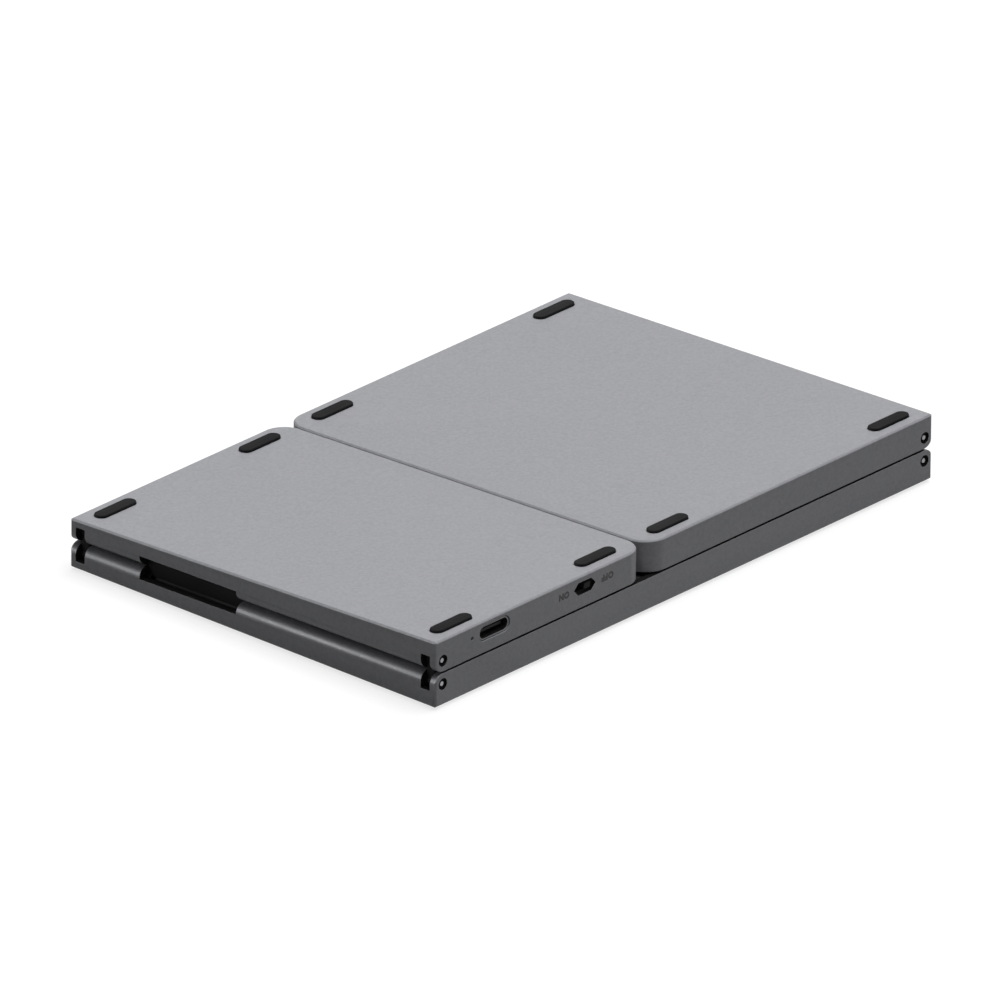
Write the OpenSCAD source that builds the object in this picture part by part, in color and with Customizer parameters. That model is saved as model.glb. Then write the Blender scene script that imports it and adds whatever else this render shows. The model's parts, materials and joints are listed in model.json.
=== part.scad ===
// Pocket keyboard in three panels, shown folded: the middle panel lies at the bottom with its keys
// up, and the short right panel and the long left panel lie keys down on top of it.
// Each hinge has two pins joined by links, so an outer panel turns through half a turn and lands
// flush beside the middle one. Every panel is a wedge, thicker at the back edge (+Y).
// Origin: centre of the footprint, on the surface that the feet of the middle panel stand on.

/* [Folded body] */
// Length over both hinge ends
folded_len = 150; // [146:1:165]
// Depth from the front edge to the back edge
depth = 95.6; // [92:0.2:104]
// Thickness of one panel at its back edge
back_t = 6.85; // [6.75:0.05:7.6]
// Thickness of one panel at its front edge
front_t = 5.05; // [4.95:0.05:5.8]
// Length of the short right panel
short_len = 63.1; // [60:0.1:68]
// Gap between the free ends of the two outer panels
split_gap = 0.5; // [0.4:0.1:1.5]
// Gap between the folded layers
layer_gap = 0.4; // [0.3:0.05:0.6]
// Plan radius of the corners at the free end of an outer panel
free_corner_r = 5; // [3:0.5:7]
// Plan radius of the corners at a hinge end
hinge_corner_r = 0.6; // [0.4:0.1:1.2]
// Chamfer along the outer edges
edge_chamfer = 0.35; // [0.2:0.05:0.5]

/* [Tray] */
// Wall along the long edges and at a free end
wall_t = 1.5; // [1.3:0.1:2]
// Floor of a tray
floor_t = 0.9; // [0.7:0.05:1]
// Solid wall at a hinge end, which carries the pins
hinge_wall_t = 5.8; // [5.6:0.1:7]
// Ledge that the key frame rests on
ledge_w = 0.8; // [0.5:0.1:1]
// Diameter of a screw boss
boss_d = 3.6; // [3:0.2:4.4]
// Distance of the outer screw bosses from the inner end walls
boss_inset = 8; // [6:0.5:10]

/* [Hinges] */
// Distance between the two pins of a hinge
pin_spacing = 5; // [4.8:0.1:5.4]
// Diameter of a hinge pin
pin_d = 1; // [0.8:0.1:1.2]
// Length of a pin beyond its link
pin_tail = 2.5; // [1.5:0.5:4]
// Diameter of the counterbore round a pin's outer end
pin_mouth_d = 2.4; // [1.8:0.1:2.8]
// Depth of that counterbore
pin_mouth_depth = 0.5; // [0.3:0.1:0.8]
// Ear between a link slot and the long edge
ear_t = 1.5; // [1.2:0.1:2]
// Outer diameter of a link's round end
link_end_d = 2; // [1.8:0.1:2.2]
// Width of a link's waist
link_waist = 1.3; // [1:0.1:1.6]
// Thickness of a link along its pins
link_t = 2; // [1.5:0.1:2.6]
// Clearance on each side of a link in its slot
link_side_gap = 0.15; // [0.1:0.05:0.3]
// Clearance round a link's end in its slot
link_swing_gap = 0.15; // [0.1:0.05:0.3]
// Running clearance on the radius of every hinge pin
pin_play = 0.05; // [0.02:0.01:0.08]

/* [Cable cover] */
// Width of the recess for the cable cover
cover_recess_w = 25.3; // [22:0.1:30]
// Distance of its middle from the back edge
cover_from_back = 64.7; // [58:0.1:72]
// Thickness over both plates of the cover
cover_t = 1.85; // [1.7:0.05:1.9]
// Thickness of the cover's two plates, which the flat cable runs between
cover_plate_t = 0.6; // [0.5:0.05:0.7]
// Distance of the cover from the line through the pins
cover_set = 0.2; // [0.15:0.05:0.25]
// Width of the cheek at each end of the cover
cheek_w = 1.2; // [1:0.1:1.6]
// Length of the trunnion on each cheek
trunnion_len = 1.8; // [1.2:0.1:2.4]
// Clearance round the cover in its recess
cover_gap = 0.15; // [0.1:0.05:0.2]
// Thickness of the flat cable
cable_t = 0.2; // [0.12:0.02:0.24]
// Height of the slit that the flat cable passes through
cable_slit_h = 0.7; // [0.5:0.05:0.8]
// Clearance of the flat cable beside each cheek
cable_side_gap = 0.6; // [0.4:0.1:1.5]

/* [Keys] */
// Drop of the key tops below the rim
key_drop = 0.2; // [0.15:0.05:0.3]
// Height of a key cap
cap_h = 1.3; // [1.2:0.05:1.35]
// Depth of the dish in a cap's top
cap_dish = 0.15; // [0.05:0.05:0.2]
// Flat rim beside the dish
cap_rim = 0.5; // [0.3:0.1:0.9]
// Thickness of a cap's top
cap_top_t = 0.6; // [0.5:0.05:0.7]
// Thickness of a cap's skirt
cap_wall = 0.8; // [0.6:0.1:1.1]
// Plan radius of a cap's corners
cap_r = 1.3; // [0.9:0.1:1.8]
// Gap between neighbouring caps
cap_spacing = 2; // [1.8:0.1:2.6]
// Key travel
key_travel = 1; // [0.8:0.05:1.05]
// Drop of the key frame below the rim
frame_drop = 0.6; // [0.5:0.05:0.7]
// Thickness of the key frame
frame_t = 0.7; // [0.5:0.05:0.72]
// Border of the frame outside the key field
frame_border = 1.2; // [1:0.1:1.6]
// Clearance round a cap in its opening
cap_gap = 0.35; // [0.25:0.05:0.5]
// Clearance round the key frame in its tray
frame_gap = 0.1; // [0.05:0.05:0.2]

/* [Switch stack] */
// Distance between a pressed cap and the membrane
press_gap = 0.3; // [0.2:0.05:0.3]
// Thickness of the membrane sheet
membrane_t = 0.15; // [0.1:0.05:0.2]
// Thickness of the switch plate
plate_t = 0.3; // [0.2:0.05:0.35]
// Clearance round the plate in its tray
plate_gap = 0.2; // [0.1:0.05:0.4]
// Diameter of a plate screw
screw_d = 1.2; // [1:0.1:1.4]
// Diameter of its head
screw_head_d = 2.4; // [2:0.1:2.8]
// Thickness of its head
screw_head_t = 0.25; // [0.2:0.05:0.28]
// Clearance of a screw in its plate
screw_play = 0.05; // [0.03:0.01:0.1]
// Length of a screw below the plate
screw_bite = 1.1; // [0.8:0.1:1.2]
// Diameter of a rubber dome at its foot
dome_d = 5; // [4:0.2:5.4]
// Wall of a rubber dome
dome_wall = 0.5; // [0.4:0.05:0.6]
// Length of a scissor lever
lever_len = 10; // [9:0.2:11]
// Width over the outer scissor lever
lever_w = 8.2; // [7.8:0.1:8.2]
// Bar thickness of a scissor lever
lever_bar = 0.5; // [0.4:0.05:0.55]
// Clearance between the two levers of a scissor
lever_play = 0.1; // [0.05:0.05:0.15]

/* [Feet] */
// Length of a foot
foot_len = 11.2; // [9:0.1:14]
// Width of a foot
foot_w = 3.1; // [2.6:0.1:4.4]
// Height of a foot above its panel
foot_proud = 0.55; // [0.4:0.05:0.8]
// Depth of a foot's seat
foot_sink = 0.3; // [0.2:0.05:0.4]
// Distance of the foot centres from the long edges
foot_from_edge = 3.9; // [3.4:0.1:6]
// Distance of the foot centres from a hinge end
foot_from_hinge = 9; // [8:0.1:14]
// Distance of the foot centres from the short panel's free end
short_foot_from_free = 11; // [7.4:0.1:14]
// Distance of the foot centres from the long panel's free end
long_foot_from_free = 10.3; // [7.4:0.1:18]

/* [Ports] */
// Distance of the ports' centre line from the outer face
port_height = 2.7; // [2.6:0.05:2.75]
// Distance of the socket from the hinge end
socket_at = 17.6; // [16:0.1:20]
// Width of the USB-C socket's shell
socket_w = 8.94; // [8.94:0.01:9]
// Height of the USB-C socket's shell
socket_h = 3.1; // [3:0.02:3.16]
// Length of the USB-C socket
socket_len = 6.8; // [6:0.1:6.8]
// Wall of the socket's shell
socket_wall = 0.3; // [0.2:0.05:0.35]
// Thickness of the socket's tongue
tongue_t = 0.7; // [0.6:0.05:0.75]
// Distance of the tongue's tip behind the mouth of the shell
tongue_setback = 1; // [0.8:0.1:1.4]
// Clearance round the socket in the tray wall
socket_gap = 0.15; // [0.1:0.05:0.2]
// Set-back of the socket and the slider from the back edge
port_setback = 0.2; // [0.1:0.05:0.4]
// Distance of the power switch from the hinge end
switch_at = 44.6; // [40:0.1:48]
// Length of the switch recess
switch_recess_w = 6.4; // [6:0.1:7.4]
// Height of the switch recess
switch_recess_h = 2.6; // [2.2:0.1:2.8]
// Depth of the switch recess
switch_recess_depth = 0.7; // [0.4:0.1:0.9]
// Length of the slider's knob
knob_w = 1.8; // [1.4:0.1:2.2]
// Height of the slider's knob
knob_h = 1.2; // [1:0.1:1.5]
// Clearance at each end of the knob's slot
knob_end_gap = 0.35; // [0.2:0.05:0.4]
// Clearance beside the knob in its slot
knob_side_gap = 0.15; // [0.1:0.05:0.25]
// Travel of the slider
slide_travel = 2; // [1.5:0.1:2.4]
// Length of the switch body
switch_body_w = 7; // [6.6:0.1:8]
// Height of the switch body
switch_body_h = 2.4; // [2.2:0.1:2.5]
// Depth of the switch body
switch_body_len = 3; // [2.6:0.1:3.6]
// Distance of the lamp hole from the hinge end
lamp_at = 11; // [10:0.1:12.5]
// Diameter of the lamp hole
lamp_d = 0.8; // [0.6:0.1:1]
// Length of the light pipe
lamp_pipe_len = 3; // [2.5:0.1:4]

/* [Electronics] */
// Length of the battery
battery_len = 84; // [60:1:100]
// Width of the battery
battery_w = 30; // [20:1:32]
// Thickness of the battery
battery_t = 1.7; // [1.2:0.05:1.8]
// Gap between the battery and the tray's back wall
battery_back_gap = 3; // [2:0.5:5]
// Thickness of the control board
board_t = 0.6; // [0.4:0.1:0.8]
// Depth of the control board
board_w = 22; // [16:1:26]
// Gap between the board and the tray walls
board_gap = 0.6; // [0.4:0.1:1.2]
// Height of the chips on the board
chip_t = 0.7; // [0.5:0.1:0.8]
// Width of the charging chip
charger_w = 3.5; // [3:0.5:5]
// Width of the controller chip
controller_w = 6; // [4:0.5:8]
// Width of the radio module
radio_w = 9; // [7:0.5:11]
// Distance of the radio module's middle from the board's end
radio_inset = 12; // [10:0.5:16]
// Diameter of a board post
board_post_d = 2; // [1.6:0.2:2.6]
// Length of a closing magnet
magnet_len = 10; // [6:0.5:14]
// Distance of a magnet's middle from the split between the outer panels
magnet_from_split = 15; // [12:0.5:18]
// Height and width of a closing magnet
magnet_t = 1.05; // [0.8:0.05:1.05]

/* [Hidden] */
$fn = 48;
CENTRE = 0;
RIGHT = 1;
LEFT = 2;
PANELS = [CENTRE, RIGHT, LEFT];

// Relative key widths, back row first: [panel][row]
KEYS = [
    [[1, 1, 1, 1, 1, 1, 1], [1, 1, 1, 1, 1, 1, 1], [1, 1, 1, 1, 1, 1, 1], [1, 1, 1, 1, 1, 1, 1], [5, 1, 1]],
    [[1, 1, 1], [1, 1, 1], [1, 2], [1, 1, 1], [1, 1, 1]],
    [[1, 1, 1, 1], [1.12, 1, 1, 1], [1.32, 1, 1, 1], [1.55, 1, 1, 1], [1, 1, 1, 1]]
];

half_len = folded_len / 2;
half_depth = depth / 2;
long_len = folded_len - short_len - split_gap;
mid_t = (back_t + front_t) / 2;
wedge = atan((back_t - front_t) / depth);
// Rim radius of a knuckle: equal gaps between the panels when they are folded, turning and open
knuckle_r = (pin_spacing - layer_gap) / 2;
lift = (layer_gap / 2 + mid_t) * cos(wedge) + foot_proud;
recentre = -(back_t - front_t) / 2 * sin(wedge);
// Longer than any cut needs to be
reach = 20;
// Depth of a cut that goes through a wall alone
wall_cut = 5;
// Round on the rim at a free end, and inside corners of the trays
free_rim_r = 0.3;
pocket_r = 1;
// Outward shift of the cones that chamfer the corners
cone_shift = 0.02;
// Clearance of a piece against the one that holds it
seat_gap = 0.05;
// Keys longer than this stand on three scissors and have a flat top
long_key_w = 60;
// Steps in half of a dish
dish_steps = 6;

// Each panel is drawn keys up with its rim at z = 0, where it lies when the keyboard is open
x_lo = [-half_len, -half_len, half_len - long_len];
x_hi = [half_len, short_len - half_len, half_len];
hinged_lo = [true, true, false];
hinged_hi = [true, false, true];

slot_w = link_t + 2 * link_side_gap;
slot_r = link_end_d / 2 + link_swing_gap;
cover_w = cover_recess_w - 2 * cover_gap;
cover_y = half_depth - cover_from_back;
cover_in = cover_set + cover_t;
cover_end_gap = cover_set;
cheek_swing_r = pin_d / 2 + 2 * cover_gap;
cable_w = cover_w - 2 * (cheek_w + cable_side_gap);

frame_seat = frame_drop + frame_t;
// Width of the frame between two keys
frame_bar = cap_spacing - 2 * cap_gap;
cap_bottom = key_drop + cap_h;
membrane_top = cap_bottom + key_travel + press_gap;
plate_top = membrane_top + membrane_t;
plate_bottom = plate_top + plate_t;
ceiling_z = key_drop + cap_top_t;
support_h = membrane_top - ceiling_z - seat_gap;
rows = len(KEYS[CENTRE]);
row_pitch = (depth - 2 * (wall_t + frame_border)) / rows;
port_z = port_height - back_t;
board_z = port_z - board_t / 2;

// ---------- Placing ----------

// From the plane midway between the folded layers to the standing keyboard
module settled() {
    translate([0, recentre, lift]) rotate([wedge, 0, 0]) children();
}

// A panel drawn keys up, put in its folded place
module in_panel(p) {
    settled() rotate([0, p == CENTRE ? 0 : 180, 0]) translate([0, 0, -layer_gap / 2]) children();
}

// Children drawn with z = 0 on the outer face of a panel and the panel above it
module on_outer_face() {
    translate([0, 0, -mid_t]) rotate([-wedge, 0, 0]) children();
}

// Children drawn on the line through the pins of one hinge: x points out of the hinge end,
// y along the pins and z from the lower pin (at z = 0) to the upper pin
module at_hinge(side) {
    settled() mirror([side > 0 ? 0 : 1, 0, 0])
        translate([half_len - knuckle_r, 0, -pin_spacing / 2]) children();
}

// The same frame seen from one panel: x points out of its hinge end, z = 0 at its own pin
module at_pin(side) {
    mirror([side > 0 ? 0 : 1, 0, 0]) translate([half_len - knuckle_r, 0, -knuckle_r]) children();
}

// Extrudes a profile drawn in x and z along y, from y_lo to y_hi
module along_y(y_lo, y_hi) {
    translate([0, y_hi, 0]) rotate([90, 0, 0]) linear_extrude(y_hi - y_lo) children();
}

// Hinge ends of a panel, as +1 and -1 along the panel's own x
function hinge_sides(p) = [for (s = [-1, 1]) if (s < 0 ? hinged_lo[p] : hinged_hi[p]) s];
function long_edges() = [-1, 1];

// ---------- Outlines ----------

// Rectangle with its own corner radius at each end, centred on y = 0
module outline(lo, hi, half_y, r_lo, r_hi) {
    translate([lo + r_lo, -half_y]) square([hi - lo - r_lo - r_hi, 2 * half_y]);
    outline_end(lo, half_y, r_lo, 1);
    outline_end(hi, half_y, r_hi, -1);
}

module outline_end(x, half_y, r, inward) {
    translate([inward > 0 ? x : x - r, r - half_y]) square([r, 2 * (half_y - r)]);
    for (s = long_edges()) translate([x + inward * r, s * (half_y - r)]) circle(r);
}

module round_rect(w, h, r) {
    translate([-w / 2, 0]) outline(0, w, h / 2, r, r);
}

module stadium(w, h) {
    square([w - h, h], center = true);
    for (s = [-1, 1]) translate([s * (w - h) / 2, 0]) circle(h / 2);
}

// Outline of a panel drawn in by one distance at its free end and long edges, another at its hinges
module panel_outline(p, wall, hinge_wall, free_r) {
    lo_r = hinged_lo[p] ? pocket_r : free_r;
    hi_r = hinged_hi[p] ? pocket_r : free_r;
    outline(inner_lo(p, wall, hinge_wall), inner_hi(p, wall, hinge_wall), half_depth - wall, lo_r, hi_r);
}

function inner_lo(p, wall, hinge_wall) = x_lo[p] + (hinged_lo[p] ? hinge_wall : wall);
function inner_hi(p, wall, hinge_wall) = x_hi[p] - (hinged_hi[p] ? hinge_wall : wall);

// Section across a panel, from the rim down to a face that runs parallel to the outer one
module wedge_section(raised) {
    rotate([90, 0, 90]) linear_extrude(2 * folded_len, center = true)
        polygon([[-half_depth, 0], [half_depth, 0],
            [half_depth, raised - back_t], [-half_depth, raised - front_t]]);
}

// Section along a panel, with a round knuckle at each hinge and a small round at a free rim
module rim_section(p) {
    r_lo = hinged_lo[p] ? knuckle_r : free_rim_r;
    r_hi = hinged_hi[p] ? knuckle_r : free_rim_r;
    translate([x_lo[p] + r_lo, -reach]) square([x_hi[p] - x_lo[p] - r_lo - r_hi, reach]);
    translate([x_lo[p], -reach]) square([r_lo, reach - r_lo]);
    translate([x_hi[p] - r_hi, -reach]) square([r_hi, reach - r_hi]);
    translate([x_lo[p] + r_lo, -r_lo]) circle(r_lo);
    translate([x_hi[p] - r_hi, -r_hi]) circle(r_hi);
}

// ---------- Tray ----------

module panel_block(p) {
    difference() {
        intersection() {
            translate([0, 0, -reach]) linear_extrude(reach)
                outline(x_lo[p], x_hi[p], half_depth,
                    hinged_lo[p] ? hinge_corner_r : free_corner_r,
                    hinged_hi[p] ? hinge_corner_r : free_corner_r);
            wedge_section(0);
            along_y(-half_depth, half_depth) rim_section(p);
        }
        on_outer_face() {
            translate([x_lo[p], 0, 0]) chamfer_cut(180);
            translate([x_hi[p], 0, 0]) chamfer_cut(0);
            for (s = long_edges()) translate([0, s * half_depth, 0]) chamfer_cut(s * 90);
            for (s = long_edges()) {
                if (!hinged_lo[p]) translate([x_lo[p] + free_corner_r, s * (half_depth - free_corner_r), 0])
                    corner_cut(s > 0 ? 90 : 180);
                if (!hinged_hi[p]) translate([x_hi[p] - free_corner_r, s * (half_depth - free_corner_r), 0])
                    corner_cut(s > 0 ? 0 : 270);
            }
        }
    }
}

// Block whose near face is the chamfer of an edge that runs along y with x pointing outwards
module chamfer_cut(turn) {
    rotate([0, 0, turn]) rotate([0, 45, 0])
        translate([-edge_chamfer / sqrt(2), -folded_len, -reach / 2])
            cube([reach, 2 * folded_len, reach]);
}

// Ring that carries the chamfer round the quarter turn of a corner, turned from +X and +Y. It is
// set outwards by a hair, so that its cone crosses the straight chamfers and isn't tangent to them.
module corner_cut(turn) {
    half = free_corner_r / 2;
    rotate([0, 0, turn]) translate([cone_shift, cone_shift, 0]) difference() {
        translate([0, 0, -half / 2]) cube([reach, reach, half]);
        translate([0, 0, -half])
            cylinder(r1 = half - edge_chamfer, r2 = 3 * half - edge_chamfer, h = 2 * half);
    }
}

// Room under the key frame, down to the sloping floor
module tray_hollow(p) {
    intersection() {
        translate([0, 0, -reach]) linear_extrude(reach - frame_seat)
            panel_outline(p, wall_t + ledge_w, hinge_wall_t, free_corner_r - wall_t - ledge_w);
        wedge_section(floor_t);
    }
}

module frame_pocket(p) {
    translate([0, 0, -frame_seat]) linear_extrude(reach)
        panel_outline(p, wall_t, hinge_wall_t - ledge_w, free_corner_r - wall_t);
}

// Places where a panel's switch plate is screwed to its tray
function boss_x(p) = [
    inner_lo(p, wall_t, hinge_wall_t) + boss_inset,
    inner_hi(p, wall_t, hinge_wall_t) - boss_inset];
function boss_points(p) = concat(
    [for (x = boss_x(p)) [x, -1.5 * row_pitch]],
    [for (x = boss_x(p)) [x, (p == RIGHT ? 0.5 : 1.5) * row_pitch]],
    p == CENTRE ? [[0, -1.5 * row_pitch]] : []);

module bosses(p) {
    intersection() {
        for (b = boss_points(p))
            translate([b[0], b[1], -reach]) cylinder(d = boss_d, h = reach - plate_bottom);
        wedge_section(floor_t / 2);
    }
}

module board_posts() {
    intersection() {
        for (b = board_post_points())
            translate([b[0], b[1], -reach]) cylinder(d = board_post_d, h = reach + board_z);
        wedge_section(floor_t / 2);
    }
}

module screw_holes(p) {
    for (b = boss_points(p))
        translate([b[0], b[1], -plate_bottom - screw_bite]) cylinder(d = screw_d, h = reach);
}

// Slot for one end link: open to the rim and to the end, and round about the pin
module link_slots(side) {
    at_pin(side) for (s = long_edges()) {
        y = s * (half_depth - ear_t - slot_w / 2);
        along_y(y - slot_w / 2, y + slot_w / 2) {
            circle(slot_r);
            translate([-slot_r, 0]) square([reach, reach]);
            translate([0, -slot_r]) square([reach, reach]);
        }
    }
}

module pin_holes(side) {
    at_pin(side) for (s = long_edges()) {
        hinge_bar(s, pin_inner(), half_depth) circle(d = pin_d);
        hinge_bar(s, half_depth - pin_mouth_depth, half_depth + reach) circle(d = pin_mouth_d);
    }
}

// A round bar along the pins near one long edge, between two distances from the middle
module hinge_bar(s, from, to) {
    along_y(s > 0 ? from : -to, s > 0 ? to : -from) children();
}

function pin_inner() = half_depth - ear_t - slot_w - pin_tail;

// Recess for the cable cover with bearings for its trunnions and a slit for the flat cable
module cover_recess(side) {
    lo = cover_y - cover_recess_w / 2;
    hi = cover_y + cover_recess_w / 2;
    at_pin(side) {
        along_y(lo, hi)
            translate([-cover_in - cover_gap, cover_set - cover_gap]) square([reach, reach]);
        for (y = [lo, hi - cheek_w - 2 * cover_gap])
            along_y(y, y + cheek_w + 2 * cover_gap) circle(cheek_swing_r);
        along_y(lo - trunnion_len, hi + trunnion_len) circle(pin_d / 2 + pin_play);
        along_y(cover_y - cable_w / 2 - cover_gap, cover_y + cable_w / 2 + cover_gap)
            translate([-reach / 2, knuckle_r - frame_seat - cable_slit_h - seat_gap])
                square([reach / 2, cable_slit_h]);
    }
}

function foot_x(p) = [
    x_lo[p] + (hinged_lo[p] ? foot_from_hinge : long_foot_from_free),
    x_hi[p] - (hinged_hi[p] ? foot_from_hinge : short_foot_from_free)];

module at_feet(p) {
    on_outer_face() for (x = foot_x(p), s = long_edges())
        translate([x, s * (half_depth - foot_from_edge), 0]) children();
}

module tray(p) {
    difference() {
        union() {
            difference() {
                panel_block(p);
                tray_hollow(p);
                frame_pocket(p);
            }
            bosses(p);
            if (p == RIGHT) board_posts();
        }
        screw_holes(p);
        for (side = hinge_sides(p)) {
            link_slots(side);
            pin_holes(side);
            cover_recess(side);
        }
        at_feet(p) translate([0, 0, -reach]) linear_extrude(reach + foot_sink) stadium(foot_len, foot_w);
        if (p == RIGHT) port_cuts();
    }
}

// ---------- Ports on the back edge of the right panel ----------

// Children drawn at a port: x along the edge, y out of the back edge (y = 0), z up
module at_port(from_hinge) {
    translate([x_lo[RIGHT] + from_hinge, half_depth, port_z]) children();
}

module port_cuts() {
    at_port(socket_at) along_y(-wall_cut, reach)
        stadium(socket_w + 2 * socket_gap, socket_h + 2 * socket_gap);
    at_port(switch_at) {
        along_y(-switch_recess_depth, reach) pointed_slot(switch_recess_w, switch_recess_h);
        along_y(-wall_cut, reach)
            knob_slot();
    }
    at_port(lamp_at) along_y(-wall_cut, reach) circle(d = lamp_d);
}

// Slot with pointed ends
module pointed_slot(w, h) {
    polygon([[-w / 2, 0], [-w / 2 + h / 2, -h / 2], [w / 2 - h / 2, -h / 2],
        [w / 2, 0], [w / 2 - h / 2, h / 2], [-w / 2 + h / 2, h / 2]]);
}

// Opening that the knob slides along
module knob_slot() {
    square([knob_w + slide_travel + 2 * knob_end_gap, knob_h + 2 * knob_side_gap], center = true);
}

module usb_shell() {
    at_port(socket_at) difference() {
        along_y(-port_setback - socket_len, -port_setback) stadium(socket_w, socket_h);
        along_y(-port_setback - socket_len + socket_wall, reach)
            stadium(socket_w - 2 * socket_wall, socket_h - 2 * socket_wall);
    }
}

module usb_tongue() {
    tongue_w = socket_w - socket_h + 2 * socket_wall;
    at_port(socket_at)
        along_y(-port_setback - socket_len + socket_wall, -port_setback - tongue_setback)
            square([tongue_w, tongue_t], center = true);
}

// The switch body lies against the inside of the back wall, under the ledge
function switch_front() = -wall_t - ledge_w - seat_gap;
function switch_middle() = switch_front() - switch_body_len / 2;

module switch_body() {
    at_port(switch_at) difference() {
        along_y(switch_front() - switch_body_len, switch_front())
            square([switch_body_w, switch_body_h], center = true);
        along_y(switch_middle(), reach) knob_slot();
    }
}

module switch_slider() {
    at_port(switch_at) translate([slide_travel / 2, 0, 0])
        along_y(switch_middle() + seat_gap, -port_setback)
            square([knob_w, knob_h], center = true);
}

module light_pipe() {
    at_port(lamp_at) along_y(-lamp_pipe_len, -port_setback) circle(d = lamp_d);
}

// ---------- Keys, frame and what lies under them ----------

function field_lo(p) = inner_lo(p, wall_t, hinge_wall_t - ledge_w) + frame_border;
function field_hi(p) = inner_hi(p, wall_t, hinge_wall_t - ledge_w) - frame_border;
function row_y(r) = half_depth - wall_t - frame_border - (r + 0.5) * row_pitch;
function total(v, n) = n == 0 ? 0 : v[n - 1] + total(v, n - 1);
function unit_w(p, r) = (field_hi(p) - field_lo(p)) / total(KEYS[p][r], len(KEYS[p][r]));
// Middle and width of one key cell
function key_x(p, r, k) = field_lo(p) + unit_w(p, r) * (total(KEYS[p][r], k) + KEYS[p][r][k] / 2);
function key_w(p, r, k) = unit_w(p, r) * KEYS[p][r][k];
function all_keys(p, r) = [for (k = [0:len(KEYS[p][r]) - 1]) k];

module at_keys(p, r, picks) {
    for (k = picks) translate([key_x(p, r, k), row_y(r), 0]) {
        $key_w = key_w(p, r, k);
        children();
    }
}

module key_cap() {
    w = $key_w - cap_spacing;
    h = row_pitch - cap_spacing;
    translate([0, 0, -cap_bottom]) difference() {
        linear_extrude(cap_h) round_rect(w, h, cap_r);
        translate([0, 0, -cap_top_t]) linear_extrude(cap_h)
            round_rect(w - 2 * cap_wall, h - 2 * cap_wall, cap_r - cap_wall / 2);
        // A long key is flat on top, any other is hollowed from front to back for the finger
        if (w < long_key_w) along_y(-h, h) translate([0, cap_h]) dish_section(w / 2 - cap_rim);
    }
}

// Section across a dish, from rim to rim: a parabola below and a closing line above
module dish_section(half_w) {
    polygon(concat([[half_w, cap_h], [-half_w, cap_h]],
        [for (i = [-dish_steps:dish_steps])
            [half_w * i / dish_steps, -cap_dish * (1 - pow(i / dish_steps, 2))]]));
}

module key_row(p, r, picks) {
    in_panel(p) at_keys(p, r, picks) key_cap();
}

module key_frame(p) {
    in_panel(p) translate([0, 0, -frame_seat]) linear_extrude(frame_t) difference() {
        panel_outline(p, wall_t + frame_gap, hinge_wall_t - ledge_w + frame_gap,
            free_corner_r - wall_t - frame_gap);
        for (r = [0:rows - 1]) at_keys(p, r, all_keys(p, r))
            round_rect($key_w - frame_bar, row_pitch - frame_bar, cap_r + cap_gap);
    }
}

// A long key stands on more than one scissor
function stations(w) = w > long_key_w ? [-w / 3, 0, w / 3] : [0];

module at_stations(p) {
    for (r = [0:rows - 1]) at_keys(p, r, all_keys(p, r))
        for (x = stations($key_w)) translate([x, 0, -membrane_top]) children();
}

module domes(p) {
    top_r = dome_d / 4;
    foot_h = support_h / 8;
    shoulder_h = 0.8 * support_h;
    hollow_h = 0.65 * support_h;
    in_panel(p) at_stations(p) rotate_extrude() difference() {
        polygon([[0, 0], [dome_d / 2, 0], [dome_d / 2, foot_h], [top_r, shoulder_h],
            [top_r, support_h], [0, support_h]]);
        polygon([[0, 0], [dome_d / 2 - dome_wall, 0], [top_r - dome_wall, hollow_h], [0, hollow_h]]);
    }
}

// Two crossed levers of a key's scissor, joined by stub pins at their crossing
module scissors(p) {
    // The ends of a tilted bar reach a little higher than its middle line
    ends_h = 1.3 * lever_bar;
    tilt = asin((support_h - ends_h) / lever_len);
    inner_w = lever_w - 2 * lever_bar - 2 * lever_play;
    in_panel(p) at_stations(p) translate([0, 0, support_h / 2]) {
        rotate([0, tilt, 0]) lever(lever_len, lever_w);
        rotate([0, -tilt, 0]) lever(lever_len - 4 * lever_bar, inner_w);
    }
}

module lever(l, w) {
    difference() {
        cube([l, w, lever_bar], center = true);
        cube([l - 2 * lever_bar, w - 2 * lever_bar, reach], center = true);
    }
}

module stack_outline(p, gap) {
    difference() {
        panel_outline(p, wall_t + ledge_w + gap, hinge_wall_t + gap, free_corner_r - wall_t - ledge_w - gap);
        if (p == RIGHT) port_notch(gap);
    }
}

// Cut at the back of the right panel's sheets, which clears the socket and the switch
module port_notch(gap) {
    lo = x_lo[RIGHT] + socket_at - socket_w / 2 - gap;
    hi = x_lo[RIGHT] + switch_at + switch_body_w / 2 + gap;
    y = half_depth - port_setback - socket_len - gap;
    translate([lo, y]) square([hi - lo, reach]);
}

module membrane(p) {
    in_panel(p) translate([0, 0, -plate_top]) linear_extrude(membrane_t) difference() {
        stack_outline(p, plate_gap);
        for (b = boss_points(p)) translate(b) circle(d = screw_head_d + 2 * plate_gap);
    }
}

module switch_plate(p) {
    in_panel(p) translate([0, 0, -plate_bottom]) linear_extrude(plate_t) difference() {
        stack_outline(p, plate_gap);
        for (b = boss_points(p)) translate(b) circle(d = screw_d + 2 * screw_play);
    }
}

module plate_screws(p) {
    in_panel(p) for (b = boss_points(p)) translate([b[0], b[1], 0]) {
        translate([0, 0, -plate_top]) cylinder(d = screw_head_d, h = screw_head_t);
        translate([0, 0, -plate_bottom - screw_bite]) cylinder(d = screw_d, h = plate_t + screw_bite);
    }
}

// Magnets that hold an outer panel shut, glued under the key frames at the front and the back
function magnet_x(p) = p == CENTRE ? [pair_x(RIGHT), pair_x(LEFT)] : [-pair_x(p)];
function pair_x(p) = half_len - short_len + (p == RIGHT ? 1 : -1) * magnet_from_split;

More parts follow.
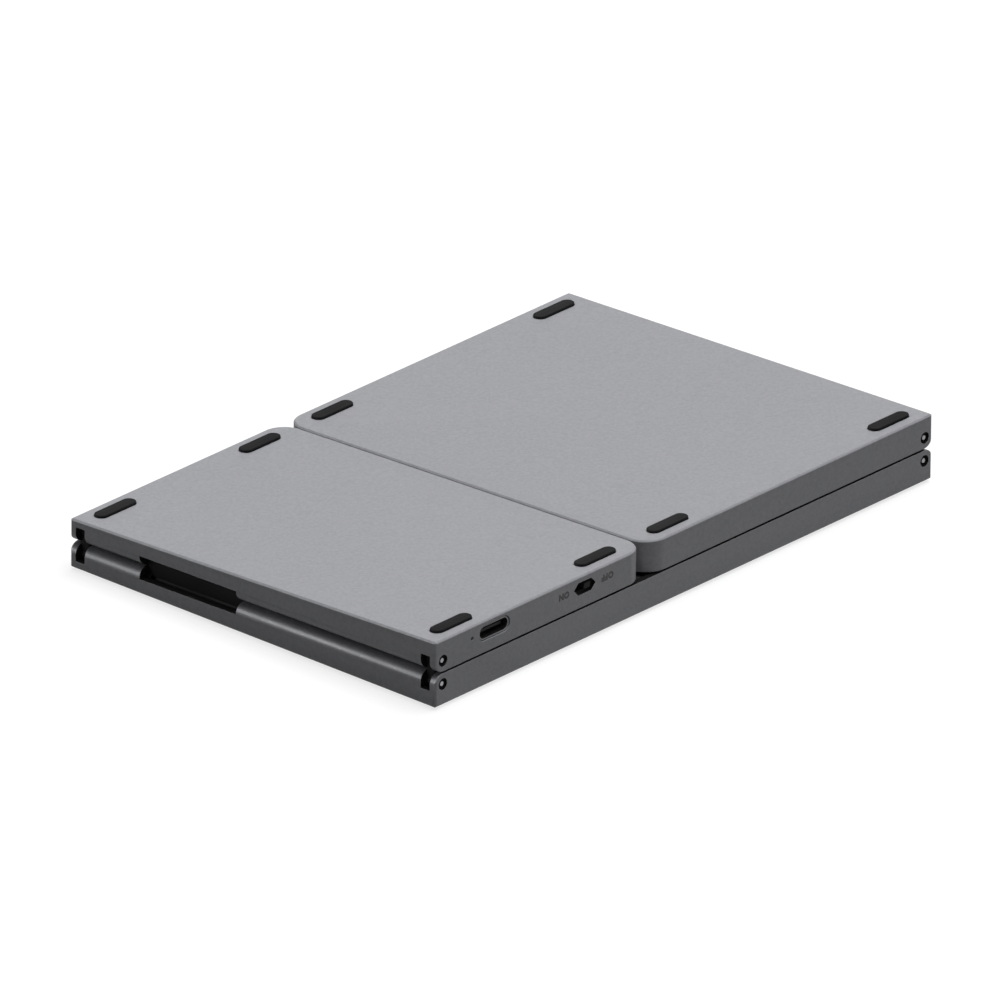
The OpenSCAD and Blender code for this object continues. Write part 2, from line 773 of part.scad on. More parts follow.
module magnets(p) {
    y = half_depth - wall_t - ledge_w - frame_gap - magnet_t / 2;
    in_panel(p) for (x = magnet_x(p), s = long_edges())
        translate([x, s * y, -frame_seat - magnet_t / 2])
            cube([magnet_len, magnet_t, magnet_t], center = true);
}

module feet(p) {
    in_panel(p) at_feet(p)
        translate([0, 0, -foot_proud]) linear_extrude(foot_proud + foot_sink) stadium(foot_len, foot_w);
}

// ---------- Hinge parts ----------

module end_links(side) {
    at_hinge(side) for (s = long_edges()) {
        y = s * (half_depth - ear_t - slot_w / 2);
        along_y(y - link_t / 2, y + link_t / 2) difference() {
            union() {
                for (z = [0, pin_spacing]) translate([0, z]) circle(d = link_end_d);
                translate([-link_waist / 2, 0]) square([link_waist, pin_spacing]);
            }
            for (z = [0, pin_spacing]) translate([0, z]) circle(pin_d / 2 + pin_play);
        }
    }
}

// level 0 is the pin in the middle panel, level 1 the pin in the outer panel
module pins(side, level) {
    at_hinge(side) translate([0, 0, level * pin_spacing]) for (s = long_edges())
        hinge_bar(s, pin_inner(), half_depth - pin_mouth_depth) circle(d = pin_d);
}

// Profile of a cheek: a block beside the pins' line with an arm out to each pin
module cheek_profile() {
    arm = pin_d / 2;
    arm_len = 0.6 * cover_in;
    translate([-cover_in, cover_end_gap]) square([cover_t, pin_spacing - 2 * cover_end_gap]);
    for (top = [0, 1]) translate([0, top * pin_spacing]) {
        circle(arm);
        rotate(top ? 225 : 135) translate([0, -arm]) square([arm_len, 2 * arm]);
    }
}

module cable_cover(side) {
    lo = cover_y - cover_w / 2;
    hi = cover_y + cover_w / 2;
    at_hinge(side) {
        for (x = [-cover_in, -cover_set - cover_plate_t])
            along_y(lo, hi) translate([x, cover_end_gap])
                square([cover_plate_t, pin_spacing - 2 * cover_end_gap]);
        for (y = [lo, hi - cheek_w]) along_y(y, y + cheek_w) cheek_profile();
        for (z = [0, pin_spacing]) translate([0, 0, z]) {
            along_y(lo - trunnion_len + cover_gap, lo + cheek_w) circle(d = pin_d);
            along_y(hi - cheek_w, hi + trunnion_len - cover_gap) circle(d = pin_d);
        }
    }
}

// Stretch of the flat cable that crosses the hinge, midway between the plates of the cover
module flat_cable(side) {
    at_hinge(side) along_y(cover_y - cable_w / 2, cover_y + cable_w / 2)
        translate([-cover_set - (cover_t + cable_t) / 2, cover_end_gap])
            square([cable_t, pin_spacing - 2 * cover_end_gap]);
}

// ---------- Electronics ----------

module battery_pack() {
    y = half_depth - wall_t - ledge_w - battery_back_gap - battery_w / 2;
    in_panel(CENTRE) on_outer_face() translate([0, y, floor_t * cos(wedge)])
        linear_extrude(battery_t) round_rect(battery_len, battery_w, pocket_r);
}

function board_lo() = inner_lo(RIGHT, wall_t + ledge_w, hinge_wall_t) + board_gap;
function board_hi() = inner_hi(RIGHT, wall_t + ledge_w, hinge_wall_t) - board_gap;
function board_back() = half_depth - wall_t - ledge_w - board_gap;
function board_post_points() = [
    for (x = [board_lo() + 2 * board_post_d, board_hi() - 2 * board_post_d], y = [0, 1])
        [x, board_back() - board_w + board_post_d + y * board_w / 2]];

// Charging chip behind the socket, controller and radio module, on the side of the tray's floor
module chips() {
    parts = [
        [x_lo[RIGHT] + socket_at, charger_w],
        [(board_lo() + board_hi()) / 2, controller_w],
        [board_hi() - radio_inset, radio_w]];
    for (part = parts)
        translate([part[0], board_back() - board_w / 2, board_z - chip_t])
            linear_extrude(chip_t + board_t / 2) square(part[1], center = true);
}

module board() {
    in_panel(RIGHT) chips();
    in_panel(RIGHT) translate([0, 0, board_z]) linear_extrude(board_t) difference() {
        intersection() {
            panel_outline(RIGHT, wall_t + ledge_w + board_gap, hinge_wall_t + board_gap,
                free_corner_r - wall_t - ledge_w - board_gap);
            translate([board_lo(), board_back() - board_w]) square([board_hi() - board_lo(), board_w]);
        }
        board_notch(socket_at, socket_w, port_setback + socket_len);
        board_notch(switch_at, switch_body_w, switch_body_len - switch_front());
        board_notch(lamp_at, lamp_d, lamp_pipe_len);
    }
}

// Notch in the board round a port that reaches inwards from the back edge
module board_notch(from_hinge, w, inwards) {
    translate([x_lo[RIGHT] + from_hinge - w / 2 - socket_gap, half_depth - inwards - socket_gap])
        square([w + 2 * socket_gap, inwards]);
}

// ---------- Nodes ----------

TRAY_GREY = [0.42, 0.42, 0.43];
KEY_BLACK = [0.08, 0.08, 0.09];
FRAME_GREY = [0.3, 0.3, 0.31];
LINK_BLACK = [0.04, 0.04, 0.04];
RUBBER = [0.1, 0.1, 0.1];
IVORY = [0.85, 0.84, 0.8];
SHEET = [0.75, 0.77, 0.78];
STEEL = [0.72, 0.73, 0.75];
COPPER = [0.45, 0.3, 0.12];
BOARD_GREEN = [0.08, 0.3, 0.16];

module centre_tray() { color(TRAY_GREY) in_panel(CENTRE) tray(CENTRE); }
module right_tray() { color(TRAY_GREY) in_panel(RIGHT) tray(RIGHT); }
module left_tray() { color(TRAY_GREY) in_panel(LEFT) tray(LEFT); }
module centre_key_frame() { color(FRAME_GREY) key_frame(CENTRE); }
module right_key_frame() { color(FRAME_GREY) key_frame(RIGHT); }
module left_key_frame() { color(FRAME_GREY) key_frame(LEFT); }
module centre_domes() { color(RUBBER) domes(CENTRE); }
module right_domes() { color(RUBBER) domes(RIGHT); }
module left_domes() { color(RUBBER) domes(LEFT); }
module centre_scissors() { color(IVORY) scissors(CENTRE); }
module right_scissors() { color(IVORY) scissors(RIGHT); }
module left_scissors() { color(IVORY) scissors(LEFT); }
module centre_membrane() { color(SHEET) membrane(CENTRE); }
module right_membrane() { color(SHEET) membrane(RIGHT); }
module left_membrane() { color(SHEET) membrane(LEFT); }
module centre_switch_plate() { color(STEEL) switch_plate(CENTRE); }
module right_switch_plate() { color(STEEL) switch_plate(RIGHT); }
module left_switch_plate() { color(STEEL) switch_plate(LEFT); }
module centre_plate_screws() { color(STEEL) plate_screws(CENTRE); }
module right_plate_screws() { color(STEEL) plate_screws(RIGHT); }
module left_plate_screws() { color(STEEL) plate_screws(LEFT); }
module centre_magnets() { color(STEEL) magnets(CENTRE); }
module right_magnets() { color(STEEL) magnets(RIGHT); }
module left_magnets() { color(STEEL) magnets(LEFT); }
module centre_feet() { color(RUBBER) feet(CENTRE); }
module right_feet() { color(RUBBER) feet(RIGHT); }
module left_feet() { color(RUBBER) feet(LEFT); }
module centre_keys_1() { color(KEY_BLACK) key_row(CENTRE, 0, all_keys(CENTRE, 0)); }
module centre_keys_2() { color(KEY_BLACK) key_row(CENTRE, 1, all_keys(CENTRE, 1)); }
module centre_keys_3() { color(KEY_BLACK) key_row(CENTRE, 2, all_keys(CENTRE, 2)); }
module centre_keys_4() { color(KEY_BLACK) key_row(CENTRE, 3, all_keys(CENTRE, 3)); }
module centre_keys_5() { color(KEY_BLACK) key_row(CENTRE, 4, [1, 2]); }
module space_bar() { color(KEY_BLACK) key_row(CENTRE, 4, [0]); }
module right_keys_1() { color(KEY_BLACK) key_row(RIGHT, 0, all_keys(RIGHT, 0)); }
module right_keys_2() { color(KEY_BLACK) key_row(RIGHT, 1, all_keys(RIGHT, 1)); }
module right_keys_3() { color(KEY_BLACK) key_row(RIGHT, 2, all_keys(RIGHT, 2)); }
module right_keys_4() { color(KEY_BLACK) key_row(RIGHT, 3, all_keys(RIGHT, 3)); }
module right_keys_5() { color(KEY_BLACK) key_row(RIGHT, 4, all_keys(RIGHT, 4)); }
module left_keys_1() { color(KEY_BLACK) key_row(LEFT, 0, all_keys(LEFT, 0)); }
module left_keys_2() { color(KEY_BLACK) key_row(LEFT, 1, all_keys(LEFT, 1)); }
module left_keys_3() { color(KEY_BLACK) key_row(LEFT, 2, all_keys(LEFT, 2)); }
module left_keys_4() { color(KEY_BLACK) key_row(LEFT, 3, all_keys(LEFT, 3)); }
module left_keys_5() { color(KEY_BLACK) key_row(LEFT, 4, all_keys(LEFT, 4)); }
module right_end_links() { color(LINK_BLACK) end_links(1); }
module right_cable_cover() { color(LINK_BLACK) cable_cover(1); }
module right_flat_cable() { color(COPPER) flat_cable(1); }
module right_lower_pins() { color(STEEL) pins(1, 0); }
module right_upper_pins() { color(STEEL) pins(1, 1); }
module left_end_links() { color(LINK_BLACK) end_links(-1); }
module left_cable_cover() { color(LINK_BLACK) cable_cover(-1); }
module left_flat_cable() { color(COPPER) flat_cable(-1); }
module left_lower_pins() { color(STEEL) pins(-1, 0); }
module left_upper_pins() { color(STEEL) pins(-1, 1); }
module battery() { color(SHEET) battery_pack(); }
module control_board() { color(BOARD_GREEN) board(); }
module usb_c_shell() { color(STEEL) in_panel(RIGHT) usb_shell(); }
module usb_c_tongue() { color(KEY_BLACK) in_panel(RIGHT) usb_tongue(); }
module power_switch_body() { color(STEEL) in_panel(RIGHT) switch_body(); }
module power_switch_slider() { color(LINK_BLACK) in_panel(RIGHT) switch_slider(); }
module lamp_light_pipe() { color(SHEET) in_panel(RIGHT) light_pipe(); }

centre_tray();
right_tray();
left_tray();
centre_key_frame();
right_key_frame();
left_key_frame();
centre_domes();
right_domes();
left_domes();
centre_scissors();
right_scissors();
left_scissors();
centre_membrane();
right_membrane();
left_membrane();
centre_switch_plate();
right_switch_plate();
left_switch_plate();
centre_plate_screws();
right_plate_screws();
left_plate_screws();
centre_magnets();
right_magnets();
left_magnets();
centre_feet();
right_feet();
left_feet();
centre_keys_1();
centre_keys_2();
centre_keys_3();
centre_keys_4();
centre_keys_5();
space_bar();
right_keys_1();
right_keys_2();
right_keys_3();
right_keys_4();
right_keys_5();
left_keys_1();
left_keys_2();
left_keys_3();
left_keys_4();
left_keys_5();
right_end_links();
right_cable_cover();
right_flat_cable();
right_lower_pins();
right_upper_pins();
left_end_links();
left_cable_cover();
left_flat_cable();
left_lower_pins();
left_upper_pins();
battery();
control_board();
usb_c_shell();
usb_c_tongue();
power_switch_body();
power_switch_slider();
lamp_light_pipe();
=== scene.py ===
"""Finishes and fine pieces for a pocket keyboard in three panels, shown folded.

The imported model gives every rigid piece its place. This script dresses it: the trays, frames and
hinge parts keep their shape and get rounded edges, and the feet, pins, key caps, legends, socket,
switch and lamp are surfaces worked out with numpy. Lengths are in millimetres in each class and
become metres when a piece is placed.
"""

import json
import logging
import math
from dataclasses import dataclass, field
from enum import Enum

import bmesh
import bpy
import numpy as np
from mathutils import Matrix, Vector


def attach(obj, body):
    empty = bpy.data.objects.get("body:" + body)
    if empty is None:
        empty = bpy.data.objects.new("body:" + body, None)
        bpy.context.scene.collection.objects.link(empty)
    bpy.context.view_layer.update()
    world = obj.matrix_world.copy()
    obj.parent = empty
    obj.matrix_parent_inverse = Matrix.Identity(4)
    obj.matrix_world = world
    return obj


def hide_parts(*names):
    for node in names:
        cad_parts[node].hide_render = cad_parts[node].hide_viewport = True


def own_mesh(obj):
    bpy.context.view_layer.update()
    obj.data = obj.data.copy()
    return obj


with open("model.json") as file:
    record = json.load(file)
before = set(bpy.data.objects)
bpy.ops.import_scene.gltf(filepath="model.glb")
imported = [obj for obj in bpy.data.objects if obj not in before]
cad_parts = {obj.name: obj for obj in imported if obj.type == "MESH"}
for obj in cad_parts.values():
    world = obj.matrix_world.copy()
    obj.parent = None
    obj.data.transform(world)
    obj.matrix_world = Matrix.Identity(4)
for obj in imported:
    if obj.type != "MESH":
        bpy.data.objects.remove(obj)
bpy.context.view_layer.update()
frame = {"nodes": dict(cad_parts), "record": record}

LOG = logging.getLogger("keyboard")
MM = 0.001
MERGE_DIST = 1e-7  # metres; points nearer than this become one
HUB = 0.02  # millimetres; radius of the smallest ring round an axis
FINE_HUB = 0.01  # the same on thin pieces
LEVEL = 0.01  # millimetres; heights that differ by less are the same
FINE_EDGE = 0.1  # millimetres; rounding of thin copied pieces
SOFT_EDGE = 0.12  # rounding of the softer ones
SMOOTH_DEG = 40.0  # edges that turn by more stay sharp
FINE_DEG = 50.0  # the same on small drafted pieces
Pair = tuple[float, float]
Triple = tuple[float, float, float]
Colour = Triple
NodeSocket = bpy.types.NodeSocket


# ---------- The folded body ----------


class Part(Enum):
    """The three panels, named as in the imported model."""

    CENTRE = "centre"
    RIGHT = "right"
    LEFT = "left"

    @property
    def body(self) -> str:
        """Name of the moving body that the panel is."""
        return "centre" if self is Part.CENTRE else f"{self.value}_panel"


@dataclass(frozen=True)
class Folded:
    """Driving sizes of the folded body, in millimetres."""

    length: float = 150.0
    depth: float = 95.6
    back_t: float = 6.85
    front_t: float = 5.05
    port_height: float = 2.7
    switch_at: float = 44.6
    layer_gap: float = 0.4
    foot_proud: float = 0.55
    pin_spacing: float = 5.0

    @property
    def wedge(self) -> float:
        """Angle between the rim and the outer face of a panel, in radians."""
        return math.atan((self.back_t - self.front_t) / self.depth)

    @property
    def mid_t(self) -> float:
        """Thickness of a panel halfway back."""
        return (self.back_t + self.front_t) / 2

    @property
    def knuckle_r(self) -> float:
        """Radius of the round rim at a hinge end, and the distance of the pins from that end."""
        return (self.pin_spacing - self.layer_gap) / 2

    def settled(self) -> Matrix:
        """Place of the plane midway between the layers.

        Returns:
            The matrix from millimetres about that plane to metres on the standing keyboard.
        """
        lift = (self.layer_gap / 2 + self.mid_t) * math.cos(self.wedge) + self.foot_proud
        back = -(self.back_t - self.front_t) / 2 * math.sin(self.wedge)
        place = Matrix.Translation((0.0, back, lift)) @ Matrix.Rotation(self.wedge, 4, "X")
        return Matrix.Scale(MM, 4) @ place

    def panel(self, part: Part) -> Matrix:
        """From a panel drawn keys up with its rim at z = 0 to its folded place.

        Args:
            part: the panel.

        Returns:
            The matrix from millimetres on the panel to metres in the frame.
        """
        turn = Matrix.Identity(4) if part is Part.CENTRE else Matrix.Rotation(math.pi, 4, "Y")
        return self.settled() @ turn @ Matrix.Translation((0.0, 0.0, -self.layer_gap / 2))

    def outer_face(self, part: Part) -> Matrix:
        """From a plane lying on a panel's outer face, with the panel above it, to its folded place.

        Args:
            part: the panel.

        Returns:
            The matrix from millimetres on the face to metres in the frame.
        """
        tilt = Matrix.Rotation(-self.wedge, 4, "X")
        return self.panel(part) @ Matrix.Translation((0.0, 0.0, -self.mid_t)) @ tilt

    def hinge(self, side: int) -> Matrix:
        """From the line through the pins of one hinge, with x out of the hinge end, to its place.

        Args:
            side: 1 for the right hinge, -1 for the left.

        Returns:
            The matrix from millimetres at the hinge to metres in the frame.
        """
        mirror = Matrix.Diagonal((float(side), 1.0, 1.0, 1.0))
        pins = Matrix.Translation((self.length / 2 - self.knuckle_r, 0.0, -self.pin_spacing / 2))
        return self.settled() @ mirror @ pins


BODY = Folded()


# ---------- Meshes ----------


def moved(points: np.ndarray, place: Matrix) -> np.ndarray:
    """Points carried through a matrix.

    Args:
        points: an array whose last axis is x, y and z.
        place: the matrix.

    Returns:
        The moved points, in an array of the same shape.
    """
    m = np.array(place, float)
    return points @ m[:3, :3].T + m[:3, 3]


def mesh_points(mesh: bpy.types.Mesh) -> np.ndarray:
    """Corners of a mesh.

    Args:
        mesh: the mesh.

    Returns:
        An array with one row for each corner.
    """
    flat = np.empty(len(mesh.vertices) * 3)
    mesh.vertices.foreach_get("co", flat)
    return flat.reshape(-1, 3)


def node_points(node: str, place: Matrix) -> np.ndarray:
    """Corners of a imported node's mesh, seen from the frame that a matrix leads out of.

    Args:
        node: name of the node.
        place: the matrix from that frame, in millimetres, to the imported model.

    Returns:
        An array with one row for each corner.
    """
    return moved(mesh_points(frame["nodes"][node].data), place.inverted())


def node_box(node: str, place: Matrix) -> tuple[np.ndarray, np.ndarray]:
    """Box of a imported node, seen from the frame that a matrix leads out of.

    Args:
        node: name of the node.
        place: the matrix from that frame, in millimetres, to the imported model.

    Returns:
        The lowest and the highest corner.
    """
    points = node_points(node, place)
    return points.min(axis=0), points.max(axis=0)


def rounded_rect(half_w: float, half_h: float, radius: float, arc: int, side: int) -> np.ndarray:
    """Outline of a rectangle with round corners: four quarter circles joined by straight sides.

    Args:
        half_w: half the width.
        half_h: half the height.
        radius: radius of the corners.
        arc: steps along each quarter circle.
        side: points along each straight side, apart from its ends.

    Returns:
        The points in order, anticlockwise, one row each.
    """
    turn = np.linspace(0.0, math.pi / 2, arc + 1)
    corners = []
    for k, (sx, sy) in enumerate(((1, 1), (-1, 1), (-1, -1), (1, -1))):
        centre = np.array([sx * (half_w - radius), sy * (half_h - radius)])
        angle = turn + k * math.pi / 2
        corners.append(centre + radius * np.stack([np.cos(angle), np.sin(angle)], axis=1))
    share = np.linspace(0.0, 1.0, side + 2)[1:-1, None]
    pieces = []
    for k, corner in enumerate(corners):
        after = corners[(k + 1) % 4][0]
        pieces += [corner, corner[-1] * (1 - share) + after * share]
    return np.concatenate(pieces)


def lift_ring(outline: np.ndarray, z: float | np.ndarray) -> np.ndarray:
    """A flat outline raised to a height.

    Args:
        outline: points in the plane, one row each.
        z: one height, or one for each point.

    Returns:
        The ring as points in space.
    """
    heights = np.broadcast_to(np.asarray(z, float), outline.shape[:1])
    return np.column_stack([outline, heights])


def ring_faces(rings: int, around: int) -> np.ndarray:
    """Quads between neighbouring rings of a closed tube: each joins two points of one ring to the
    two beside them on the next.

    Args:
        rings: number of rings.
        around: number of points in a ring.

    Returns:
        An array of corner numbers, four in a row.
    """
    r, a = np.meshgrid(np.arange(rings - 1), np.arange(around), indexing="ij")
    b = (a + 1) % around
    here, there = r * around, (r + 1) * around
    return np.stack([here + a, here + b, there + b, there + a], axis=-1).reshape(-1, 4)


@dataclass
class Shape:
    """Points and faces of a mesh that is being put together, in millimetres."""

    points: list[np.ndarray] = field(default_factory=list)
    faces: list[list[int]] = field(default_factory=list)
    count: int = 0

    def add(self, points: np.ndarray, faces: np.ndarray | list) -> "Shape":
        """Adds a patch.

        Args:
            points: its points, one row each.
            faces: the corner numbers of its faces.

        Returns:
            The shape itself.
        """
        self.points.append(np.asarray(points, float).reshape(-1, 3))
        rows = faces.tolist() if isinstance(faces, np.ndarray) else faces
        self.faces += [[corner + self.count for corner in row] for row in rows]
        self.count += len(self.points[-1])
        return self

    def tube(self, rings: np.ndarray) -> "Shape":
        """Adds a surface of closed rings, whose first and last rings are closed by a face each.

        Args:
            rings: an array of rings, each an array of points in space.

        Returns:
            The shape itself.
        """
        count, around = rings.shape[:2]
        faces = ring_faces(count, around).tolist()
        faces.append(list(range(around))[::-1])
        faces.append([(count - 1) * around + k for k in range(around)])
        return self.add(rings, faces)

    def loop(self, rings: np.ndarray) -> "Shape":
        """Adds a surface of closed rings that comes back to its first ring, such as a frame.

        Args:
            rings: an array of rings, each an array of points in space.

        Returns:
            The shape itself.
        """
        count, around = rings.shape[:2]
        return self.add(rings, ring_faces(count + 1, around) % (count * around))

    def array(self) -> np.ndarray:
        """All the points in one array."""
        return np.concatenate(self.points)

    def mesh(self, name: str, place: Matrix, smooth_deg: float = SMOOTH_DEG) -> bpy.types.Object:
        """Makes the object.

        Args:
            name: its name.
            place: the matrix from the shape's millimetres to the frame's metres.
            smooth_deg: edges that turn by more than this stay sharp.

        Returns:
            The object, at the origin, with its place in its mesh.
        """
        data = bpy.data.meshes.new(name)
        data.from_pydata(moved(self.array(), place).tolist(), [], self.faces)
        tidy_mesh(data, smooth_deg, outwards=True)
        return add_object(name, data)


def add_object(name: str, data: bpy.types.ID) -> bpy.types.Object:
    """Puts a mesh, a light or a camera into the scene.

    Args:
        name: the object's name.
        data: what it shows.

    Returns:
        The object, at the origin.
    """
    obj = bpy.data.objects.new(name, data)
    bpy.context.scene.collection.objects.link(obj)
    return obj


def tidy_mesh(data: bpy.types.Mesh, smooth_deg: float, outwards: bool, flat_deg: float = 0.0) -> None:
    """Merges doubled points, drops empty faces and sets which edges are sharp.

    Args:
        data: the mesh.
        smooth_deg: edges that turn by more than this stay sharp.
        outwards: whether the normals are worked out again.
        flat_deg: neighbouring faces that turn by less than this become one.
    """
    work = bmesh.new()
    work.from_mesh(data)
    bmesh.ops.remove_doubles(work, verts=work.verts, dist=MERGE_DIST)
    bmesh.ops.dissolve_degenerate(work, edges=work.edges, dist=MERGE_DIST)
    if flat_deg:
        turn = math.radians(flat_deg)
        bmesh.ops.dissolve_limit(work, angle_limit=turn, verts=work.verts, edges=work.edges)
    if outwards:
        bmesh.ops.recalc_face_normals(work, faces=work.faces)
    for face in work.faces:
        face.smooth = True
    work.to_mesh(data)
    work.free()
    data.set_sharp_from_angle(angle=math.radians(smooth_deg))


def dress(
    obj: bpy.types.Object, body: str, slot: str, material: bpy.types.Material, *nodes: str
) -> None:
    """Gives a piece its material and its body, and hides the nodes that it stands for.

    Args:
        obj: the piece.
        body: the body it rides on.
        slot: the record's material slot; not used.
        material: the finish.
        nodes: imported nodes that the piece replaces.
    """
    obj.data.materials.clear()
    obj.data.materials.append(material)
    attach(obj, body)
    if nodes:
        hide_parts(*nodes)
    LOG.info("%s: %d faces on %s", obj.name, len(obj.data.polygons), body)


def node_slots() -> dict[str, str]:
    """The record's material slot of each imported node."""
    return {row["node"]: row["material_slot"] for row in frame["record"]["subparts"]}


def node_bodies() -> dict[str, str]:
    """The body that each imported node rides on."""
    bodies = frame["record"]["behaviour"]["bodies"]
    return {node: body for body, nodes in bodies.items() for node in nodes}


# ---------- Shapes that several pieces share ----------


def lathe(profile: np.ndarray, steps: int = 24) -> np.ndarray:
    """A profile turned about z: each of its points goes round a circle of its own radius.

    Args:
        profile: rows of radius and height.
        steps: points round each circle.

    Returns:
        One ring for each row.
    """
    turn = np.linspace(0.0, 2 * math.pi, steps, endpoint=False)
    circle = np.stack([np.cos(turn), np.sin(turn)], axis=1)
    flat = profile[:, :1, None] * circle[None]
    heights = np.broadcast_to(profile[:, 1:, None], (len(profile), steps, 1))
    return np.concatenate([flat, heights], axis=2)


def quarter(start: Pair, end: Pair, steps: int, swell: int = 1) -> np.ndarray:
    """A quarter of an ellipse between two points of a profile.

    Args:
        start: where it begins.
        end: where it ends.
        steps: how many steps it takes.
        swell: 1 if it leaves along the second axis, -1 if along the first.

    Returns:
        The points after the start, one row each.
    """
    turn = np.linspace(0.0, math.pi / 2, steps + 1)[1:]
    late, early = 1 - np.cos(turn), np.sin(turn)
    first, second = (late, early) if swell > 0 else (early, late)
    delta = (end[0] - start[0], end[1] - start[1])
    return np.stack([start[0] + delta[0] * first, start[1] + delta[1] * second], axis=1)


Circle = Triple


def cluster(points: np.ndarray, reach: float) -> list[Circle]:
    """Circles that groups of points lie on.

    Args:
        points: rows of x and y.
        reach: points nearer than this to the first of a group belong to it.

    Returns:
        The middle and the radius of each group's box.
    """
    spots = []
    left = points
    while len(left):
        near = np.linalg.norm(left - left[0], axis=1) < reach
        low, high = left[near].min(axis=0), left[near].max(axis=0)
        spots.append((*(low + high) / 2, (high[0] - low[0]) / 2))
        left = left[~near]
    return spots


def port_place(from_hinge: float) -> Matrix:
    """From a port on the back edge of the right panel, with x along the edge, y out of it and z
    upwards when the keyboard is open, to its folded place.

    Args:
        from_hinge: distance of the port from the hinge end.

    Returns:
        The matrix from millimetres at the port to metres in the frame.
    """
    x = -BODY.length / 2 + from_hinge
    spot = Matrix.Translation((x, BODY.depth / 2, BODY.port_height - BODY.back_t))
    return BODY.panel(Part.RIGHT) @ spot


ARROWS = {"→": 0.0, "↑": 90.0, "←": 180.0, "↓": 270.0}


@dataclass(frozen=True)
class Lettering:
    """Words as thin closed meshes in millimetres."""

    thickness: float = 0.03
    line_spacing: float = 0.92
    curve_steps: int = 3

    def word(
        self, text: str, size: float, weight: float = 0.0, spacing: float = 1.0
    ) -> tuple[np.ndarray, list[list[int]]]:
        """Makes one word, centred on the origin and facing +z.

        Args:
            text: the word, with a new line for each line.
            size: height of the type.
            weight: how much each stroke is widened on either side, in millimetres.
            spacing: distance between letters, as a share of the usual one.

        Returns:
            The points and the faces.
        """
        curve = bpy.data.curves.new("letters", "FONT")
        curve.body = "→" if text in ARROWS else text
        curve.size = size
        curve.space_line = self.line_spacing
        curve.space_character = spacing
        curve.offset = weight
        curve.align_x = "CENTER"
        curve.align_y = "CENTER"
        curve.extrude = self.thickness / 2
        curve.resolution_u = self.curve_steps
        holder = bpy.data.objects.new("letters", curve)
        data = holder.to_mesh()
        points = mesh_points(data)
        faces = [list(face.vertices) for face in data.polygons]
        holder.to_mesh_clear()
        bpy.data.objects.remove(holder)
        bpy.data.curves.remove(curve)
        middle = (points.max(axis=0) + points.min(axis=0)) / 2
        turn = Matrix.Rotation(math.radians(ARROWS.get(text, 0.0)), 4, "Z")
        return moved(points - middle, turn), faces


# ---------- Material parts that several finishes use ----------


class Graph:
    """Adds nodes and links to a material or a node group."""

    mix_inputs = (0, 6, 7)
    mix_output = 2

    def __init__(self, tree: bpy.types.NodeTree) -> None:
        """Starts on a node tree.

        Args:
            tree: the tree that the nodes go into.
        """
        self.tree = tree

    def node(self, kind: str, **inputs: object) -> bpy.types.Node:
        """Adds one node.

        Args:
            kind: its type.
            inputs: values or links by the name of the input.

        Returns:
            The node.
        """
        made = self.tree.nodes.new(kind)
        for name, value in inputs.items():
            self.feed(made.inputs[name], value)
        return made

    def feed(self, socket: NodeSocket, value: object) -> None:
        """Links an output to a socket, or sets the socket's own value.

        Args:
            socket: the input.
            value: an output socket or a number or colour.
        """
        if isinstance(value, NodeSocket):
            self.tree.links.new(value, socket)
        else:
            socket.default_value = value

    def math(self, operation: str, *values: object) -> NodeSocket:
        """A Math node.

        Args:
            operation: what it does.
            values: its inputs in order.

        Returns:
            Its output.
        """
        made = self.tree.nodes.new("ShaderNodeMath")
        made.operation = operation
        for socket, value in zip(made.inputs, values):
            self.feed(socket, value)
        return made.outputs[0]

    def spread(
        self, value: object, low: float, high: float, to_low: float = 0.0, to_high: float = 1.0
    ) -> NodeSocket:
        """Maps a value from one range to another and holds it there.

        Args:
            value: the input.
            low: where the old range starts.
            high: where it ends.
            to_low: what the start becomes.
            to_high: what the end becomes.

        Returns:
            The mapped value.
        """
        made = self.tree.nodes.new("ShaderNodeMapRange")
        for socket, given in zip(made.inputs, (value, low, high, to_low, to_high)):
            self.feed(socket, given)
        return made.outputs[0]

    def blend(self, share: object, first: object, second: object) -> NodeSocket:
        """A mix of two colours.

        Args:
            share: how much of the second colour shows.
            first: the colour at 0.
            second: the colour at 1.

        Returns:
            The mixed colour.
        """
        made = self.tree.nodes.new("ShaderNodeMix")
        made.data_type = "RGBA"
        for number, value in zip(self.mix_inputs, (share, first, second)):
            self.feed(made.inputs[number], value)
        return made.outputs[self.mix_output]

    def noise(self, vector: object, size: float, detail: float = 2.0) -> NodeSocket:
        """Noise with features of a stated size.

        Args:
            vector: where it is read.
            size: size of a feature in metres.
            detail: how many finer layers it has.

        Returns:
            A value about 0.5.
        """
        made = self.node("ShaderNodeTexNoise", Vector=vector, Scale=1.0 / size, Detail=detail)
        return made.outputs[0]


def rgba(colour: Colour) -> tuple[float, float, float, float]:
    """A colour with full alpha."""
    return (*colour, 1.0)


def new_group(
    name: str, inputs: dict[str, object], outputs: dict[str, str]
) -> tuple[Graph, dict, dict]:
    """Starts a shader node group.

    Args:
        name: its name.
        inputs: default values by name, a number for a value and a tuple of 3 for a vector.
        outputs: socket types by name.

    Returns:
        The graph, its input sockets by name and its output sockets by name.
    """
    tree = bpy.data.node_groups.new(name, "ShaderNodeTree")
    for label, value in inputs.items():
        kind = "NodeSocketVector" if isinstance(value, tuple) else "NodeSocketFloat"
        socket = tree.interface.new_socket(label, in_out="INPUT", socket_type=kind)
        if not isinstance(value, tuple):
            socket.default_value = value
    for label, kind in outputs.items():
        tree.interface.new_socket(label, in_out="OUTPUT", socket_type=kind)
    start = tree.nodes.new("NodeGroupInput")
    end = tree.nodes.new("NodeGroupOutput")
    return Graph(tree), {s.name: s for s in start.outputs}, {s.name: s for s in end.inputs}


